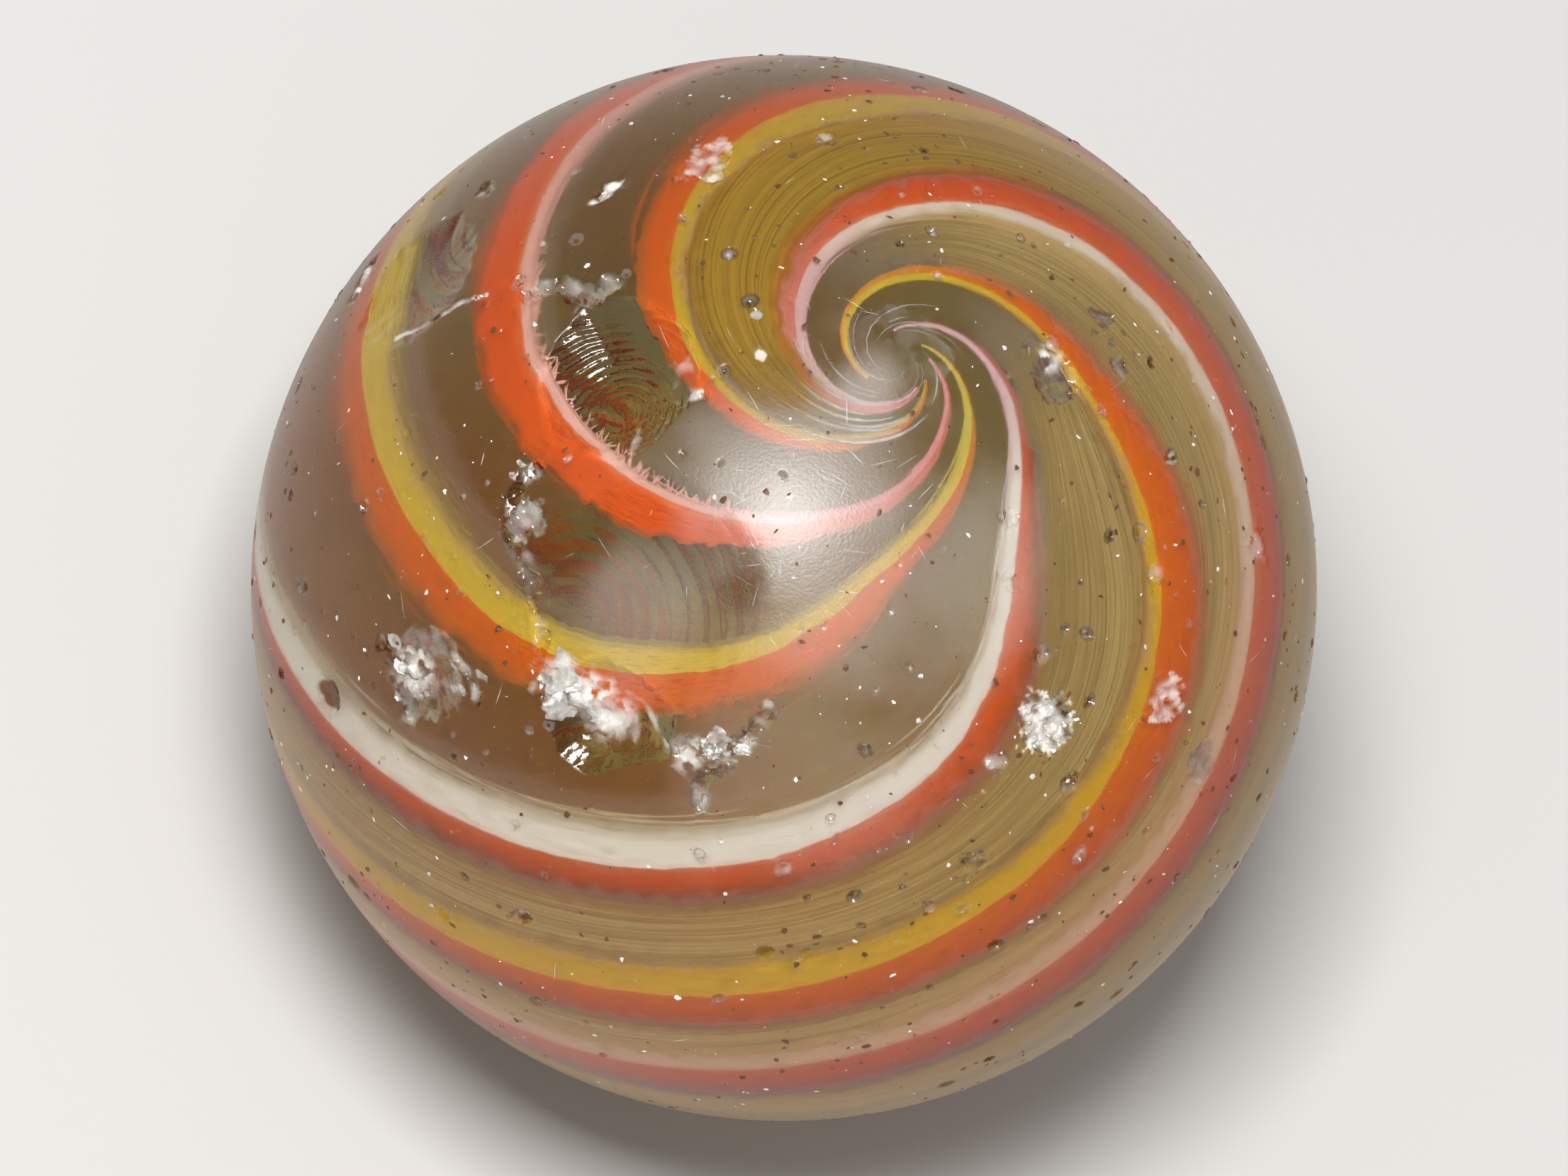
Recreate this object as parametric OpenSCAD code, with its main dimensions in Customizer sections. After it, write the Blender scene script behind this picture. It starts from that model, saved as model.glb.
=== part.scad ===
// Handmade glass swirl marble: a clear ball with six two-colour ribbons twisted under its skin.
// Sizes are in millimetres and angles in degrees. The swirl axis is Z, with the finished end up.

/* [Ball] */
// Diameter of the ball
ball_d = 16; // [12:0.5:25]
// Clear glass over the ribbons
skin = 0.2; // [0.15:0.01:0.6]
// Radius of the dull patch where each end was twisted off
end_patch_r = 0.8; // [0.3:0.05:1.5]
// How far that patch is sunk below the round
end_patch_depth = 0.06; // [0.03:0.01:0.2]

/* [Ribbons] */
// Thickness of a ribbon
ribbon_t = 0.25; // [0.15:0.01:0.6]
// How much deeper the pale edge of a ribbon lies than its seam
pale_dip = 0.1; // [0:0.01:0.3]
// How much deeper the dark edge of a ribbon lies than its seam
dark_dip = 0.5; // [0:0.01:0.8]
// Angle from the axis at which the ribbons stop
ribbon_stop = 5.5; // [4:0.5:8]
// How quickly the ribbons thin toward the ends
thinning = 1.1; // [0.8:0.05:1.4]
// Turn of every ribbon below the middle, at 130, 160 and 172 degrees from the upper end
lower_turn = [-90, -170, -270]; // [-360:1:0]

/* [Ribbon widths] */
// Yellow and orange of ribbon 1, across at the middle of the ball
ribbon_1_w = [0.75, 0.95]; // [0.3:0.05:1.6]
// White and red of ribbon 2
ribbon_2_w = [0.65, 0.65]; // [0.3:0.05:1.6]
// Yellow and orange of ribbon 3
ribbon_3_w = [0.9, 0.7]; // [0.3:0.05:1.6]
// White and red of ribbon 4
ribbon_4_w = [0.6, 1.05]; // [0.3:0.05:1.6]
// Yellow and orange of ribbon 5
ribbon_5_w = [1.4, 0.8]; // [0.3:0.05:1.6]
// White and red of ribbon 6
ribbon_6_w = [0.75, 1.25]; // [0.3:0.05:1.6]

/* [Ribbon paths] */
// Azimuth of ribbon 1 at 8, 20, 50 and 90 degrees from the upper end
ribbon_1_path = [149, 37, -22, -106]; // [-480:1:180]
// Azimuth of ribbon 2 at the same angles
ribbon_2_path = [57, -19, -63, -146]; // [-480:1:180]
// Azimuth of ribbon 3 at the same angles
ribbon_3_path = [9, -58, -115, -220]; // [-480:1:180]
// Azimuth of ribbon 4 at the same angles
ribbon_4_path = [-20, -88, -193, -290]; // [-480:1:180]
// Azimuth of ribbon 5 at the same angles
ribbon_5_path = [-68, -146, -270, -362]; // [-480:1:180]
// Azimuth of ribbon 6 at the same angles
ribbon_6_path = [-125, -246, -349, -432]; // [-480:1:180]

/* [Chips] */
// Shell-shaped chip: angle from the upper end, azimuth, radius, depth
shell_chip = [30, 206, 1.25, 0.48]; // [0:0.01:360]
// Chip beside it, nearer the middle of the ball
side_chip = [57, 181, 1.1, 0.14]; // [0:0.01:360]
// Wide shallow scoop
scoop_chip = [40, 249, 1.8, 0.24]; // [0:0.01:360]
// Flake at the lower edge of the scoop
flake_chip = [50, 256, 0.95, 0.4]; // [0:0.01:360]
// Bruise below the scoop
bruise_1 = [64, 235, 0.65, 0.13]; // [0:0.01:360]
// Round bruise on the white ribbon's far side
bruise_2 = [43, 323, 0.5, 0.12]; // [0:0.01:360]
// Small round bruise
bruise_3 = [49, 344, 0.38, 0.1]; // [0:0.01:360]
// Deep small pit
pit_1 = [80, 227, 0.3, 0.14]; // [0:0.01:360]
// Pit beside the finished end
pit_2 = [18, 26, 0.43, 0.13]; // [0:0.01:360]
// Pit by the outer red strand
pit_3 = [60, 346, 0.32, 0.1]; // [0:0.01:360]
// Pit by the broad yellow strand
pit_4 = [34, 148, 0.37, 0.11]; // [0:0.01:360]
// Pit between the shell chip and the scoop
pit_5 = [44, 226, 0.32, 0.1]; // [0:0.01:360]

/* [Hidden] */
$fn = 160;
ball_r = ball_d / 2;
ring_count = 48;
seam_r = ball_r - skin;
widths = [ribbon_1_w, ribbon_2_w, ribbon_3_w, ribbon_4_w, ribbon_5_w, ribbon_6_w];
paths = [
    ribbon_1_path,
    ribbon_2_path,
    ribbon_3_path,
    ribbon_4_path,
    ribbon_5_path,
    ribbon_6_path
];
end_chips = [[0, 0, end_patch_r, end_patch_depth], [180, 0, end_patch_r, end_patch_depth]];
deep_chips = [shell_chip, scoop_chip, flake_chip];
shallow_chips = [side_chip, bruise_1, bruise_2, bruise_3, pit_1, pit_2, pit_3, pit_4, pit_5];
station_angles = [8, 20, 50, 90, 130, 160, 172];
stations = [for (a = station_angles) spread(a)];
yellow_ribbons = [1, 3, 5];
white_ribbons = [2, 4, 6];
yellow = [0.80, 0.66, 0.16];
orange = [0.87, 0.36, 0.06];
white = [0.90, 0.86, 0.78];
red = [0.82, 0.25, 0.12];
clear = [0.72, 0.66, 0.56, 0.35];

// Stretched angle, in which a line of steady slant on a ball is straight
function spread(angle) = ln(tan(angle / 2));

function unit(v) = v / norm(v);

function direction(angle, azimuth) =
    [sin(angle) * cos(azimuth), sin(angle) * sin(azimuth), cos(angle)];

// The seven azimuths that a ribbon passes through, from the upper end to the lower
function way(ribbon) =
    let (path = paths[ribbon - 1])
    concat(path, [for (turn = lower_turn) path[3] + turn]);

function rate(w, i) = (w[i + 1] - w[i]) / (stations[i + 1] - stations[i]);

// Slope of the smooth curve through the stations, at station i
function slope(w, i) =
    i == 0 ? rate(w, 0)
    : i == len(stations) - 1 ? rate(w, i - 1)
    : (rate(w, i - 1) + rate(w, i)) / 2;

// Which stretch between stations holds s
function stretch(s, i = 0) =
    i == len(stations) - 2 || s < stations[i + 1] ? i : stretch(s, i + 1);

function blend(w, s, i) =
    let (
        run = stations[i + 1] - stations[i],
        t = (s - stations[i]) / run,
        start = w[i] + slope(w, i) * run * t * (1 - t) * (1 - t),
        finish = slope(w, i + 1) * run * t * t * (t - 1)
    )
    start + (w[i + 1] - w[i]) * t * t * (3 - 2 * t) + finish;

// Azimuth of a ribbon's seam, where its two colours meet, at an angle from the upper end
function seam_azimuth(w, angle) =
    let (s = spread(angle), last = len(stations) - 1)
    s < stations[0] ? w[0] + slope(w, 0) * (s - stations[0])
    : s > stations[last] ? w[last] + slope(w, last) * (s - stations[last])
    : blend(w, s, stretch(s));

function seam(w, angle) = direction(angle, seam_azimuth(w, angle));

// Angle of ring k: rings lie closer together toward both ends, where the turn is tight
function ring_angle(k) =
    let (t = k / (ring_count - 1), eased = (1 - cos(180 * t)) / 2)
    ribbon_stop + (180 - 2 * ribbon_stop) * (t + eased) / 2;

// Points of one cross-section, each given as [distance across, dip, depth below the top face]
function ring(w, angle, section) =
    let (
        out = seam(w, angle),
        along = unit(seam(w, angle + 0.2) - seam(w, angle - 0.2)),
        across = unit(cross(out, along)),
        narrow = pow(sin(angle), thinning)
    )
    [
        for (p = section)
            let (turn = p[0] * narrow / ball_r * 180 / PI)
            (seam_r - p[1] * narrow - p[2]) * (out * cos(turn) + across * sin(turn))
    ];

// Two triangles between neighbouring rings; the last side of the section splits the other way
function side_faces(k, j, n) =
    let (
        a = k * n + j,
        b = k * n + (j + 1) % n,
        c = a + n,
        d = b + n
    )
    j == n - 1 ? [[a, b, c], [b, d, c]] : [[a, b, d], [a, d, c]];

// Solid swept along a ribbon. caps lists the corners of each flat piece of its ends.
module swept(ribbon, section, caps) {
    n = len(section);
    w = way(ribbon);
    points = [for (k = [0 : ring_count - 1]) each ring(w, ring_angle(k), section)];
    sides = [for (k = [0 : ring_count - 2], j = [0 : n - 1]) each side_faces(k, j, n)];
    first = [for (c = caps) [for (i = [len(c) - 1 : -1 : 0]) c[i]]];
    last = [for (c = caps) [for (i = c) (ring_count - 1) * n + i]];
    polyhedron(points, concat(sides, first, last), convexity = 10);
}

// Corners of a ribbon's cross-section: its pale edge, its seam and its dark edge
function pale_edge(ribbon, below) = [-widths[ribbon - 1][0], pale_dip, below];
function seam_line(below) = [0, 0, below];
function dark_edge(ribbon, below) = [widths[ribbon - 1][1], dark_dip, below];

module pale_strand(ribbon) {
    section = [
        pale_edge(ribbon, 0),
        seam_line(0),
        seam_line(ribbon_t),
        pale_edge(ribbon, ribbon_t)
    ];
    swept(ribbon, section, [[0, 1, 2, 3]]);
}

module dark_strand(ribbon) {
    section = [
        seam_line(0),
        dark_edge(ribbon, 0),
        dark_edge(ribbon, ribbon_t),
        seam_line(ribbon_t)
    ];
    swept(ribbon, section, [[0, 1, 2, 3]]);
}

// The room that both strands of a ribbon take up in the clear glass
module ribbon_room(ribbon) {
    section = [
        pale_edge(ribbon, 0),
        seam_line(0),
        dark_edge(ribbon, 0),
        dark_edge(ribbon, ribbon_t),
        seam_line(ribbon_t),
        pale_edge(ribbon, ribbon_t)
    ];
    swept(ribbon, section, [[0, 1, 4, 5], [1, 2, 3, 4]]);
}

// Ball that scoops out a chip of the stated radius and depth
module chip_cutter(chip) {
    radius = chip[2];
    bulge = ball_r - sqrt(ball_r * ball_r - radius * radius);
    hollow = chip[3] - bulge;
    cutter_r = (radius * radius + hollow * hollow) / (2 * hollow);
    rotate([0, chip[0], chip[1]])
        translate([0, 0, ball_r - chip[3] + cutter_r])
            sphere(r = cutter_r);
}

module chips(list) {
    for (chip = list) {
        chip_cutter(chip);
    }
}

module clear_glass() {
    color(clear)
        difference() {
            sphere(r = ball_r);
            chips(concat(end_chips, deep_chips, shallow_chips));
            for (ribbon = [1 : 6]) {
                ribbon_room(ribbon);
            }
        }
}

module yellow_strand(ribbon) {
    color(yellow)
        difference() {
            pale_strand(ribbon);
            chips(deep_chips);
        }
}

module orange_strand(ribbon) {
    color(orange)
        difference() {
            dark_strand(ribbon);
            chips(deep_chips);
        }
}

module white_strand(ribbon) {
    color(white)
        difference() {
            pale_strand(ribbon);
            chips(deep_chips);
        }
}

module red_strand(ribbon) {
    color(red)
        difference() {
            dark_strand(ribbon);
            chips(deep_chips);
        }
}

clear_glass();
for (i = yellow_ribbons) {
    yellow_strand(i);
    orange_strand(i);
}
for (i = white_ribbons) {
    white_strand(i);
    red_strand(i);
}
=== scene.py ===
"""Glass swirl marble: the finished look of the part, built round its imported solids.

Run as a script in Blender 4.5. Each operator models one piece, or one group of like pieces.
Lengths in the tables and functions are in millimetres and angles in degrees. Meshes are in metres.
"""

import math
from collections import namedtuple
from contextlib import contextmanager

import bpy
import numpy as np
from mathutils import Matrix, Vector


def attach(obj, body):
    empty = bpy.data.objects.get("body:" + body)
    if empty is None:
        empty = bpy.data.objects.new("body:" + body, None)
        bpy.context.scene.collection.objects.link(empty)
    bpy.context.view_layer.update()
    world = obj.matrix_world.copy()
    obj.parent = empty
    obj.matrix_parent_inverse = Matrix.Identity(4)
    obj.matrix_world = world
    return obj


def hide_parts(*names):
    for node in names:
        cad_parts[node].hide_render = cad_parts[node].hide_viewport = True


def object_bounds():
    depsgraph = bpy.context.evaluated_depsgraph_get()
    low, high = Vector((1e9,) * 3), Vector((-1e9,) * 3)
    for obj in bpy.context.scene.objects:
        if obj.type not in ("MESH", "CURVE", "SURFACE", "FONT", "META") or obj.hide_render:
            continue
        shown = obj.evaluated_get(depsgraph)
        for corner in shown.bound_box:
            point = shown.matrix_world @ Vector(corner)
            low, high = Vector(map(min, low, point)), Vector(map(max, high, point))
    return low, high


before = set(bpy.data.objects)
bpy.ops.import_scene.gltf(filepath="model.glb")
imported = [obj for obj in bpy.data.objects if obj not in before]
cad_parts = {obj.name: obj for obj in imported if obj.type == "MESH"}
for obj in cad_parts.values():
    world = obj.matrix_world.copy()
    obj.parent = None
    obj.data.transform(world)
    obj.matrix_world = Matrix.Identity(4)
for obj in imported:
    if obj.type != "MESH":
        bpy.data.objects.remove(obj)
CAD_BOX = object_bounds()

bl_info = {
    "name": "Glass swirl marble",
    "version": (1, 0, 0),
    "blender": (4, 5, 0),
    "location": "View3D > Sidebar > Marble",
    "description": "Models the clear ball, its twisted ribbons and cracks, and a plain studio",
    "category": "Add Mesh",
}

MM = 0.001
# Radius of the ball, to a tenth, since the flat faces of the solid fall a little short of it
BALL = round(CAD_BOX[1].x / MM, 1)
# Clear glass over the seams, how far the outer edges of the strands dip below them, the angle from each end
# at which the ribbons stop, and how quickly they rise toward the ends
SKIN = 0.2
PALE_DIP = 0.1
DARK_DIP = 0.28
RIBBON_STOP = 3.8
THINNING = 1.1

# Where the ribbons run: azimuth of each seam at 8, 20, 50 and 90 degrees from the upper end,
# and how much further all of them turn at the last three angles
STATION_ANGLES = (8, 20, 50, 90, 130, 160, 172)
LOWER_TURN = (-90, -170, -270)
RIBBON_PATHS = {
    1: (149, 37, -22, -106),
    2: (57, -19, -63, -146),
    3: (9, -58, -115, -220),
    4: (-20, -88, -193, -290),
    5: (-68, -146, -270, -362),
    6: (-125, -246, -349, -432),
}
# Width of the pale and the dark strand of each ribbon, at these angles from the upper end
WIDTH_ANGLES = (4, 9, 20, 30, 40, 50, 60, 75, 90, 130, 175)
RIBBON_WIDTHS = {
    1: ((0.03, 0.10, 0.14, 0.22, 0.36, 0.44, 0.64, 0.82, 0.84, 0.60, 0.06),
        (0.03, 0.08, 0.50, 1.05, 1.30, 1.35, 1.15, 1.05, 1.00, 0.75, 0.05)),
    2: ((0.03, 0.09, 0.22, 0.26, 0.42, 0.56, 0.68, 0.72, 0.70, 0.50, 0.06),
        (0.02, 0.05, 0.28, 0.70, 0.88, 0.90, 0.86, 0.82, 0.80, 0.55, 0.05)),
    3: ((0.03, 0.12, 0.19, 0.28, 0.42, 0.54, 0.74, 0.90, 0.90, 0.70, 0.06),
        (0.02, 0.03, 0.24, 0.55, 0.70, 0.75, 0.78, 0.78, 0.75, 0.55, 0.05)),
    4: ((0.03, 0.08, 0.12, 0.15, 0.18, 0.24, 0.36, 0.50, 0.58, 0.45, 0.06),
        (0.02, 0.06, 0.20, 0.65, 0.85, 0.90, 1.00, 1.05, 1.05, 0.78, 0.05)),
    5: ((0.03, 0.10, 0.17, 0.42, 1.35, 1.45, 1.40, 1.40, 1.40, 1.00, 0.06),
        (0.03, 0.09, 0.26, 0.62, 0.85, 0.95, 0.95, 0.92, 0.90, 0.62, 0.05)),
    6: ((0.04, 0.13, 0.26, 0.50, 0.62, 0.68, 0.72, 0.76, 0.78, 0.55, 0.06),
        (0.05, 0.18, 0.75, 1.15, 1.35, 1.45, 1.45, 1.45, 1.40, 0.95, 0.06)),
}
# How far each seam strays from its even path, at the same angles
SEAM_STRAY = {
    1: (0, 0, 0, -0.05, -0.08, -0.03, 0.18, 0.32, 0.30, 0.1, 0),
    2: (0, 0, 0, 0, 0, 0, 0.08, 0.12, 0.05, 0, 0),
    3: (0, 0, 0, 0.02, 0.02, 0, -0.30, -0.55, -0.50, -0.2, 0),
    4: (0, 0, -0.02, 0.18, 0.22, -0.20, -0.45, -0.40, -0.25, 0, 0),
    5: (0, 0, -0.05, 0.05, 0.10, 0.05, 0, 0, 0, 0, 0),
    6: (0, 0, 0, 0.22, 0.28, 0.28, 0.34, 0.40, 0.35, 0.1, 0),
}
# How each ribbon's pale and dark colours differ from the usual ones, as factors on red, green and blue,
# what share of the dark strand is its outer edge, how far from the middle the end colours start,
# and the factors that the pale strand takes on round the waist of the ball
RIBBON_TINTS = {
    1: ((1.03, 0.97, 0.6), (1.08, 1.15, 0.8), 0.30, 0.37, (1.0, 0.97, 0.9)),
    2: ((1.0, 1.0, 1.0), (0.95, 1.05, 1.15), 0.66, 0.36, (1.0, 0.98, 0.95)),
    3: ((0.95, 1.02, 1.5), (1.0, 1.05, 1.2), 0.34, 0.37, (0.95, 0.95, 0.95)),
    4: ((1.0, 0.62, 0.58), (1.05, 1.05, 0.8), 0.18, 0.30, (0.85, 0.7, 0.66)),
    5: ((0.85, 0.85, 0.7), (0.95, 0.85, 1.0), 0.36, 0.38, (0.95, 0.93, 0.85)),
    6: ((1.0, 0.97, 0.92), (1.0, 1.0, 0.8), 0.24, 0.35, (0.95, 0.66, 0.48)),
}
# What share of a pale strand is its outer edge, and the factors that leave a colour as it is
PALE_EDGE = 0.34
SAME = (1, 1, 1)
# Streaks in a strand, as repeats along and across it: drifts of its colours, shading, and fuzz
STRAND_STREAKS = ((30, 8, 1), (130, 34, 1), (420, 60, 1))
# Streaks in the painted glow veils, as repeats across the twist and up the ball
GLOW_VEIL_STREAKS = (75, 75, 600)
# The pale strand that a chip has frayed, between which angles, and into how many hairs
FRAYED_RIBBON = 4
FRAYED_ANGLES = (25, 47)
FRAYED_HAIRS = 130

# Soft milky veils in the skin beside the pale strands, whose gold and tan colour paints the glow of light
# that
# the strands scatter into the clear glass: gold then tan strength, where they start beyond the strand's edge
# as a share of its width, how far they reach, and the angles from the upper end between which they show
PAINTED_GLOW_VEILS = {
    1: (0.30, 0.75, -0.12, 2.4, 20, 120),
    2: (0.00, 0.35, -0.10, 0.6, 25, 130),
    3: (0.30, 0.00, -0.35, 0.7, 28, 120),
    4: (0.00, 0.20, 0.00, 0.5, 30, 120),
    5: (1.00, 0.00, -0.45, 7.0, 16, 160),
    6: (0.30, 0.80, -0.30, 2.4, 20, 130),
}
# Over which share of the next dark strand, from its seam outward, a painted glow veil sets in
GLOW_VEIL_OVERLAP = (0.45, 0.82)

# Soft milky patches: angle from the upper end, azimuth, radius and strength
CLOUDS = (
    (4, 250, 0.9, 0.24),
    (16, 262, 2.6, 0.15),
    (24, 318, 2.0, 0.13),
    (30, 285, 2.4, 0.12),
    (46, 285, 2.8, 0.07),
    (40, 250, 1.5, 0.12),
    (22, 250, 1.6, 0.10),
    (50.6, 251.0, 0.59, 0.9),
    (51.2, 256.5, 0.50, 0.7),
    (49.2, 268.0, 0.40, 0.6),
    (65.6, 232.5, 0.55, 0.8),
    (17.6, 33.5, 0.30, 0.8),
    (180, 0, 1.0, 0.25),
)
# Milky patches smaller than this break up into shards
SHARD_PATCH = 0.6

# Chips, most of them as in the solid: angle from the upper end, azimuth, radius and depth, how ragged the
# rim is, the height of the crumbled floor, and how frosted and how fresh it is
Chip = namedtuple("Chip", "angle azimuth radius depth ragged crumble frost fresh")
CHIPS = {
    "shell": Chip(30, 206, 1.25, 0.48, 0.10, 0.0, 0.0, 1.0),
    "side": Chip(60, 182, 1.25, 0.16, 0.14, 0.0, 0.0, 1.0),
    "scoop": Chip(40, 249, 1.75, 0.20, 0.10, 0.0, 0.0, 0.55),
    "flake": Chip(50, 256, 0.95, 0.4, 0.20, 0.012, 0.0, 1.0),
    "bruise_1": Chip(64, 235, 0.65, 0.13, 0.35, 0.014, 0.15, 1.0),
    "bruise_2": Chip(43, 323, 0.5, 0.12, 0.14, 0.07, 0.9, 1.0),
    "bruise_3": Chip(49, 344, 0.38, 0.1, 0.16, 0.06, 0.5, 1.0),
    "pit_1": Chip(80, 227, 0.3, 0.14, 0.18, 0.02, 0.0, 1.0),
    "pit_2": Chip(18, 26, 0.40, 0.13, 0.25, 0.03, 0.0, 1.0),
    "pit_3": Chip(60, 346, 0.32, 0.1, 0.30, 0.03, 0.15, 1.0),
    "pit_4": Chip(34, 148, 0.37, 0.11, 0.35, 0.04, 0.4, 1.0),
    "pit_5": Chip(44, 226, 0.32, 0.1, 0.30, 0.04, 0.3, 1.0),
    "upper_end": Chip(0, 0, 0.8, 0.06, 0.10, 0.004, 0.05, 0.4),
    "lower_end": Chip(180, 0, 0.8, 0.06, 0.10, 0.006, 0.2, 0.4),
}
# Mesh edge of the plain ball, the edge at which its refining stops, the longest edge wanted in damaged glass,
# and in the chips that need another
PLAIN_EDGE = 0.31
LAST_EDGE = 0.02
DAMAGE_EDGE = 0.05
CHIP_EDGES = {
    "shell": 0.02, "flake": 0.03, "bruise_1": 0.03, "bruise_2": 0.03, "bruise_3": 0.03, "lower_end": 0.07,
}
# Chips with brown dirt in them, and how much
DIRTY = {"pit_1": 0.8, "pit_2": 0.12, "pit_3": 0.4}
# Ripples on a chip's floor: angle and azimuth they spread from, wavelength and height
RIPPLES = {
    "shell": (31, 213, 0.13, 0.010),
    "side": (52, 172, 0.36, 0.008),
    "scoop": (46, 243, 0.26, 0.0065),
}
# Crushed glass along cracks: half width, depth and frost, then angle and azimuth of each bend
CRACKS = (
    (0.17, 0.12, 0.2, (41.2, 219), (42.2, 219.6), (44.7, 221.9), (46.3, 225.7), (46.5, 229.4), (46.5, 234),
     (47.3, 237.4), (48.9, 240.4), (50.2, 242.6)),
    (0.28, 0.13, 0.5, (50.0, 246.6), (51.9, 246.8), (51.6, 250.9), (52.3, 254.5), (51.0, 258.1)),
    (0.06, 0.05, 0.4, (47.8, 255.8), (47.4, 258.9), (49.0, 262.5), (49.5, 265.1)),
    (0.14, 0.10, 0.4, (49.0, 266.9), (48.2, 270), (46.7, 272.8), (45.2, 275.1), (42.5, 276.3), (40.6, 276.3)),
    (0.15, 0.09, 0.3, (48.4, 273.7), (51.0, 271.2), (53.4, 272.5)),
    (0.16, 0.09, 0.4, (68, 228), (66.7, 232.4), (66.1, 234.7), (69.5, 236.8)),
    (0.09, 0.06, 0.35, (59.5, 234.9), (59.2, 238.3), (60.2, 241.5)),
    (0.06, 0.05, 0.6, (47.8, 186.7), (51, 187.5), (53.6, 188.9), (57, 189.9), (60.8, 190.1)),
    (0.19, 0.09, 0.35, (42, 187.5), (38.6, 185.1), (36, 186.9), (33.6, 188.1), (32.8, 184.5)),
    (0.24, 0.10, 0.3, (23, 207.3)),
    (0.12, 0.07, 0.5, (24, 214), (21.5, 215.8)),
    (0.09, 0.05, 0.4, (30.1, 223.5), (29, 219)),
    (0.11, 0.06, 0.9, (40.4, 167), (40, 163.2)),
    (0.15, 0.07, 0.6, (33.9, 152.8), (31.5, 151.6)),
    (0.20, 0.07, 0.5, (35.4, 145)),
    (0.13, 0.05, 0.6, (15.7, 186.7)),
    (0.13, 0.05, 0.6, (14.6, 204.8)),
    (0.20, 0.08, 0.8, (74.4, 175), (74, 179.5)),
    (0.18, 0.07, 0.7, (58.1, 167.2)),
    (0.15, 0.06, 0.6, (68.8, 165.6)),
    (0.16, 0.06, 0.3, (26.9, 325.7)),
    (0.16, 0.06, 0.5, (20.8, 332.7)),
    (0.17, 0.07, 0.4, (37.4, 354.9)),
    (0.22, 0.07, 0.3, (51.1, 13.3)),
    (0.22, 0.07, 0.1, (26.4, 46)),
    (0.18, 0.06, 0.3, (26.7, 34)),
    (0.20, 0.07, 0.3, (35.5, 326)),
    (0.22, 0.07, 0.4, (45.2, 314.1)),
    (0.20, 0.07, 0.5, (50.5, 325.1)),
    (0.24, 0.08, 0.3, (56.7, 310.3)),
    (0.18, 0.07, 0.3, (57.8, 285.6)),
    (0.20, 0.07, 0.5, (79.3, 260.3)),
    (0.24, 0.07, 0.4, (31.9, 125.4)),
    (0.16, 0.06, 0.5, (40.6, 165.1)),
    (0.24, 0.07, 0.7, (62.5, 135.1)),
    (0.22, 0.07, 0.4, (98, 40), (101, 46)),
    (0.20, 0.07, 0.5, (112, 118)),
    (0.25, 0.08, 0.5, (124, 305), (121, 311)),
    (0.18, 0.06, 0.4, (139, 210)),
    (0.22, 0.07, 0.5, (86, 80)),
    (0.20, 0.07, 0.5, (104, 330)),
    (0.24, 0.08, 0.4, (150, 60)),
)
# Silvery splits under the skin, whose near-white colour paints the reflection of light in a split: angle,
# azimuth, spread, how many and their size
SPLITS = (
    (50.8, 248.0, 0.26, 12, 0.34),
    (51.8, 253.0, 0.28, 12, 0.22),
    (48.0, 270.5, 0.28, 10, 0.12),
    (46.0, 274.5, 0.22, 8, 0.10),
    (66.5, 232.5, 0.36, 12, 0.15),
    (60.0, 238.0, 0.30, 7, 0.10),
    (43.0, 323.5, 0.25, 10, 0.10),
    (40.1, 164.8, 0.16, 5, 0.12),
    (74.2, 177.5, 0.20, 6, 0.10),
    (42.0, 218.5, 0.16, 6, 0.08),
)
# Smallest pits and flecks, and how much lower than the round ball the skin may be where flecks lie
SMALLEST_PIT = 0.04
SMALLEST_FLECK = 0.011
WHOLE_SKIN = 0.001
# How far below the broken skin strands, frayed hairs and splits stay
STRAND_GAP = 0.015
HAIR_GAP = 0.04
SPLIT_GAP = 0.03
# Seeds of what is scattered
PIT_SEED = 16
SPLIT_SEED = 5
WHORL_SEED = 11
WHITE_SEED = 31
BROWN_SEED = 32
SCRATCH_SEED = 77
# Where the light glances off the skin, by angle and azimuth, and how many extra white scratches are crowded
# there to paint glints in its glow
GLANCE = (24, 256)
GLINT_SCRATCHES = 80
# Fine threads at the upper end: how many turn in to it, and how many more lie beside it
INNER_THREADS = 12
OUTER_THREADS = 10
# How the end threads turn: degrees for each step in the logarithm of their angle, and where it starts
WHORL_TURN = 118
WHORL_START = math.radians(9)
# Steps along and across a strand, about how long a ribbon is, how many points a thread has, and the angles up
# to which strands and ball are shaded smooth
STRAND_STEPS = (700, 10)
RIBBON_LENGTH = 36
RUN = 10
STRAND_SMOOTH = math.radians(50)
BALL_SMOOTH = math.radians(38)
# Camera: elevation, roll, width of its sensor, and the ball's radius as a share of half the picture's width
CAMERA_RISE = math.radians(61.65)
CAMERA_ROLL = math.radians(26.26)
SENSOR = 36
BALL_SHARE = 752 / 1106
# Lamp: how far above the camera's line it stands, its distance and its size in metres, and its colour
LAMP_TILT = math.radians(15)
LAMP_DISTANCE = 0.17
LAMP_SIZE = 0.05
LAMP_COLOUR = (1, 0.99, 0.97)


def unit(v):
    """Vectors brought to length one."""
    return v / np.linalg.norm(v, axis=-1, keepdims=True)


def direction(angle, azimuth):
    """Unit vector at an angle from the upper end and an azimuth."""
    a, z = np.radians(angle), np.radians(azimuth)
    return np.stack([np.sin(a) * np.cos(z), np.sin(a) * np.sin(z), np.cos(a) + 0 * z], -1)


def sideways(axis):
    """Two unit vectors square to an axis and to each other."""
    other = np.array([0.0, 0.0, 1.0]) if abs(axis[2]) < 0.9 else np.array([1.0, 0.0, 0.0])
    first = unit(np.cross(other, axis))
    return first, np.cross(axis, first)


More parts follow.
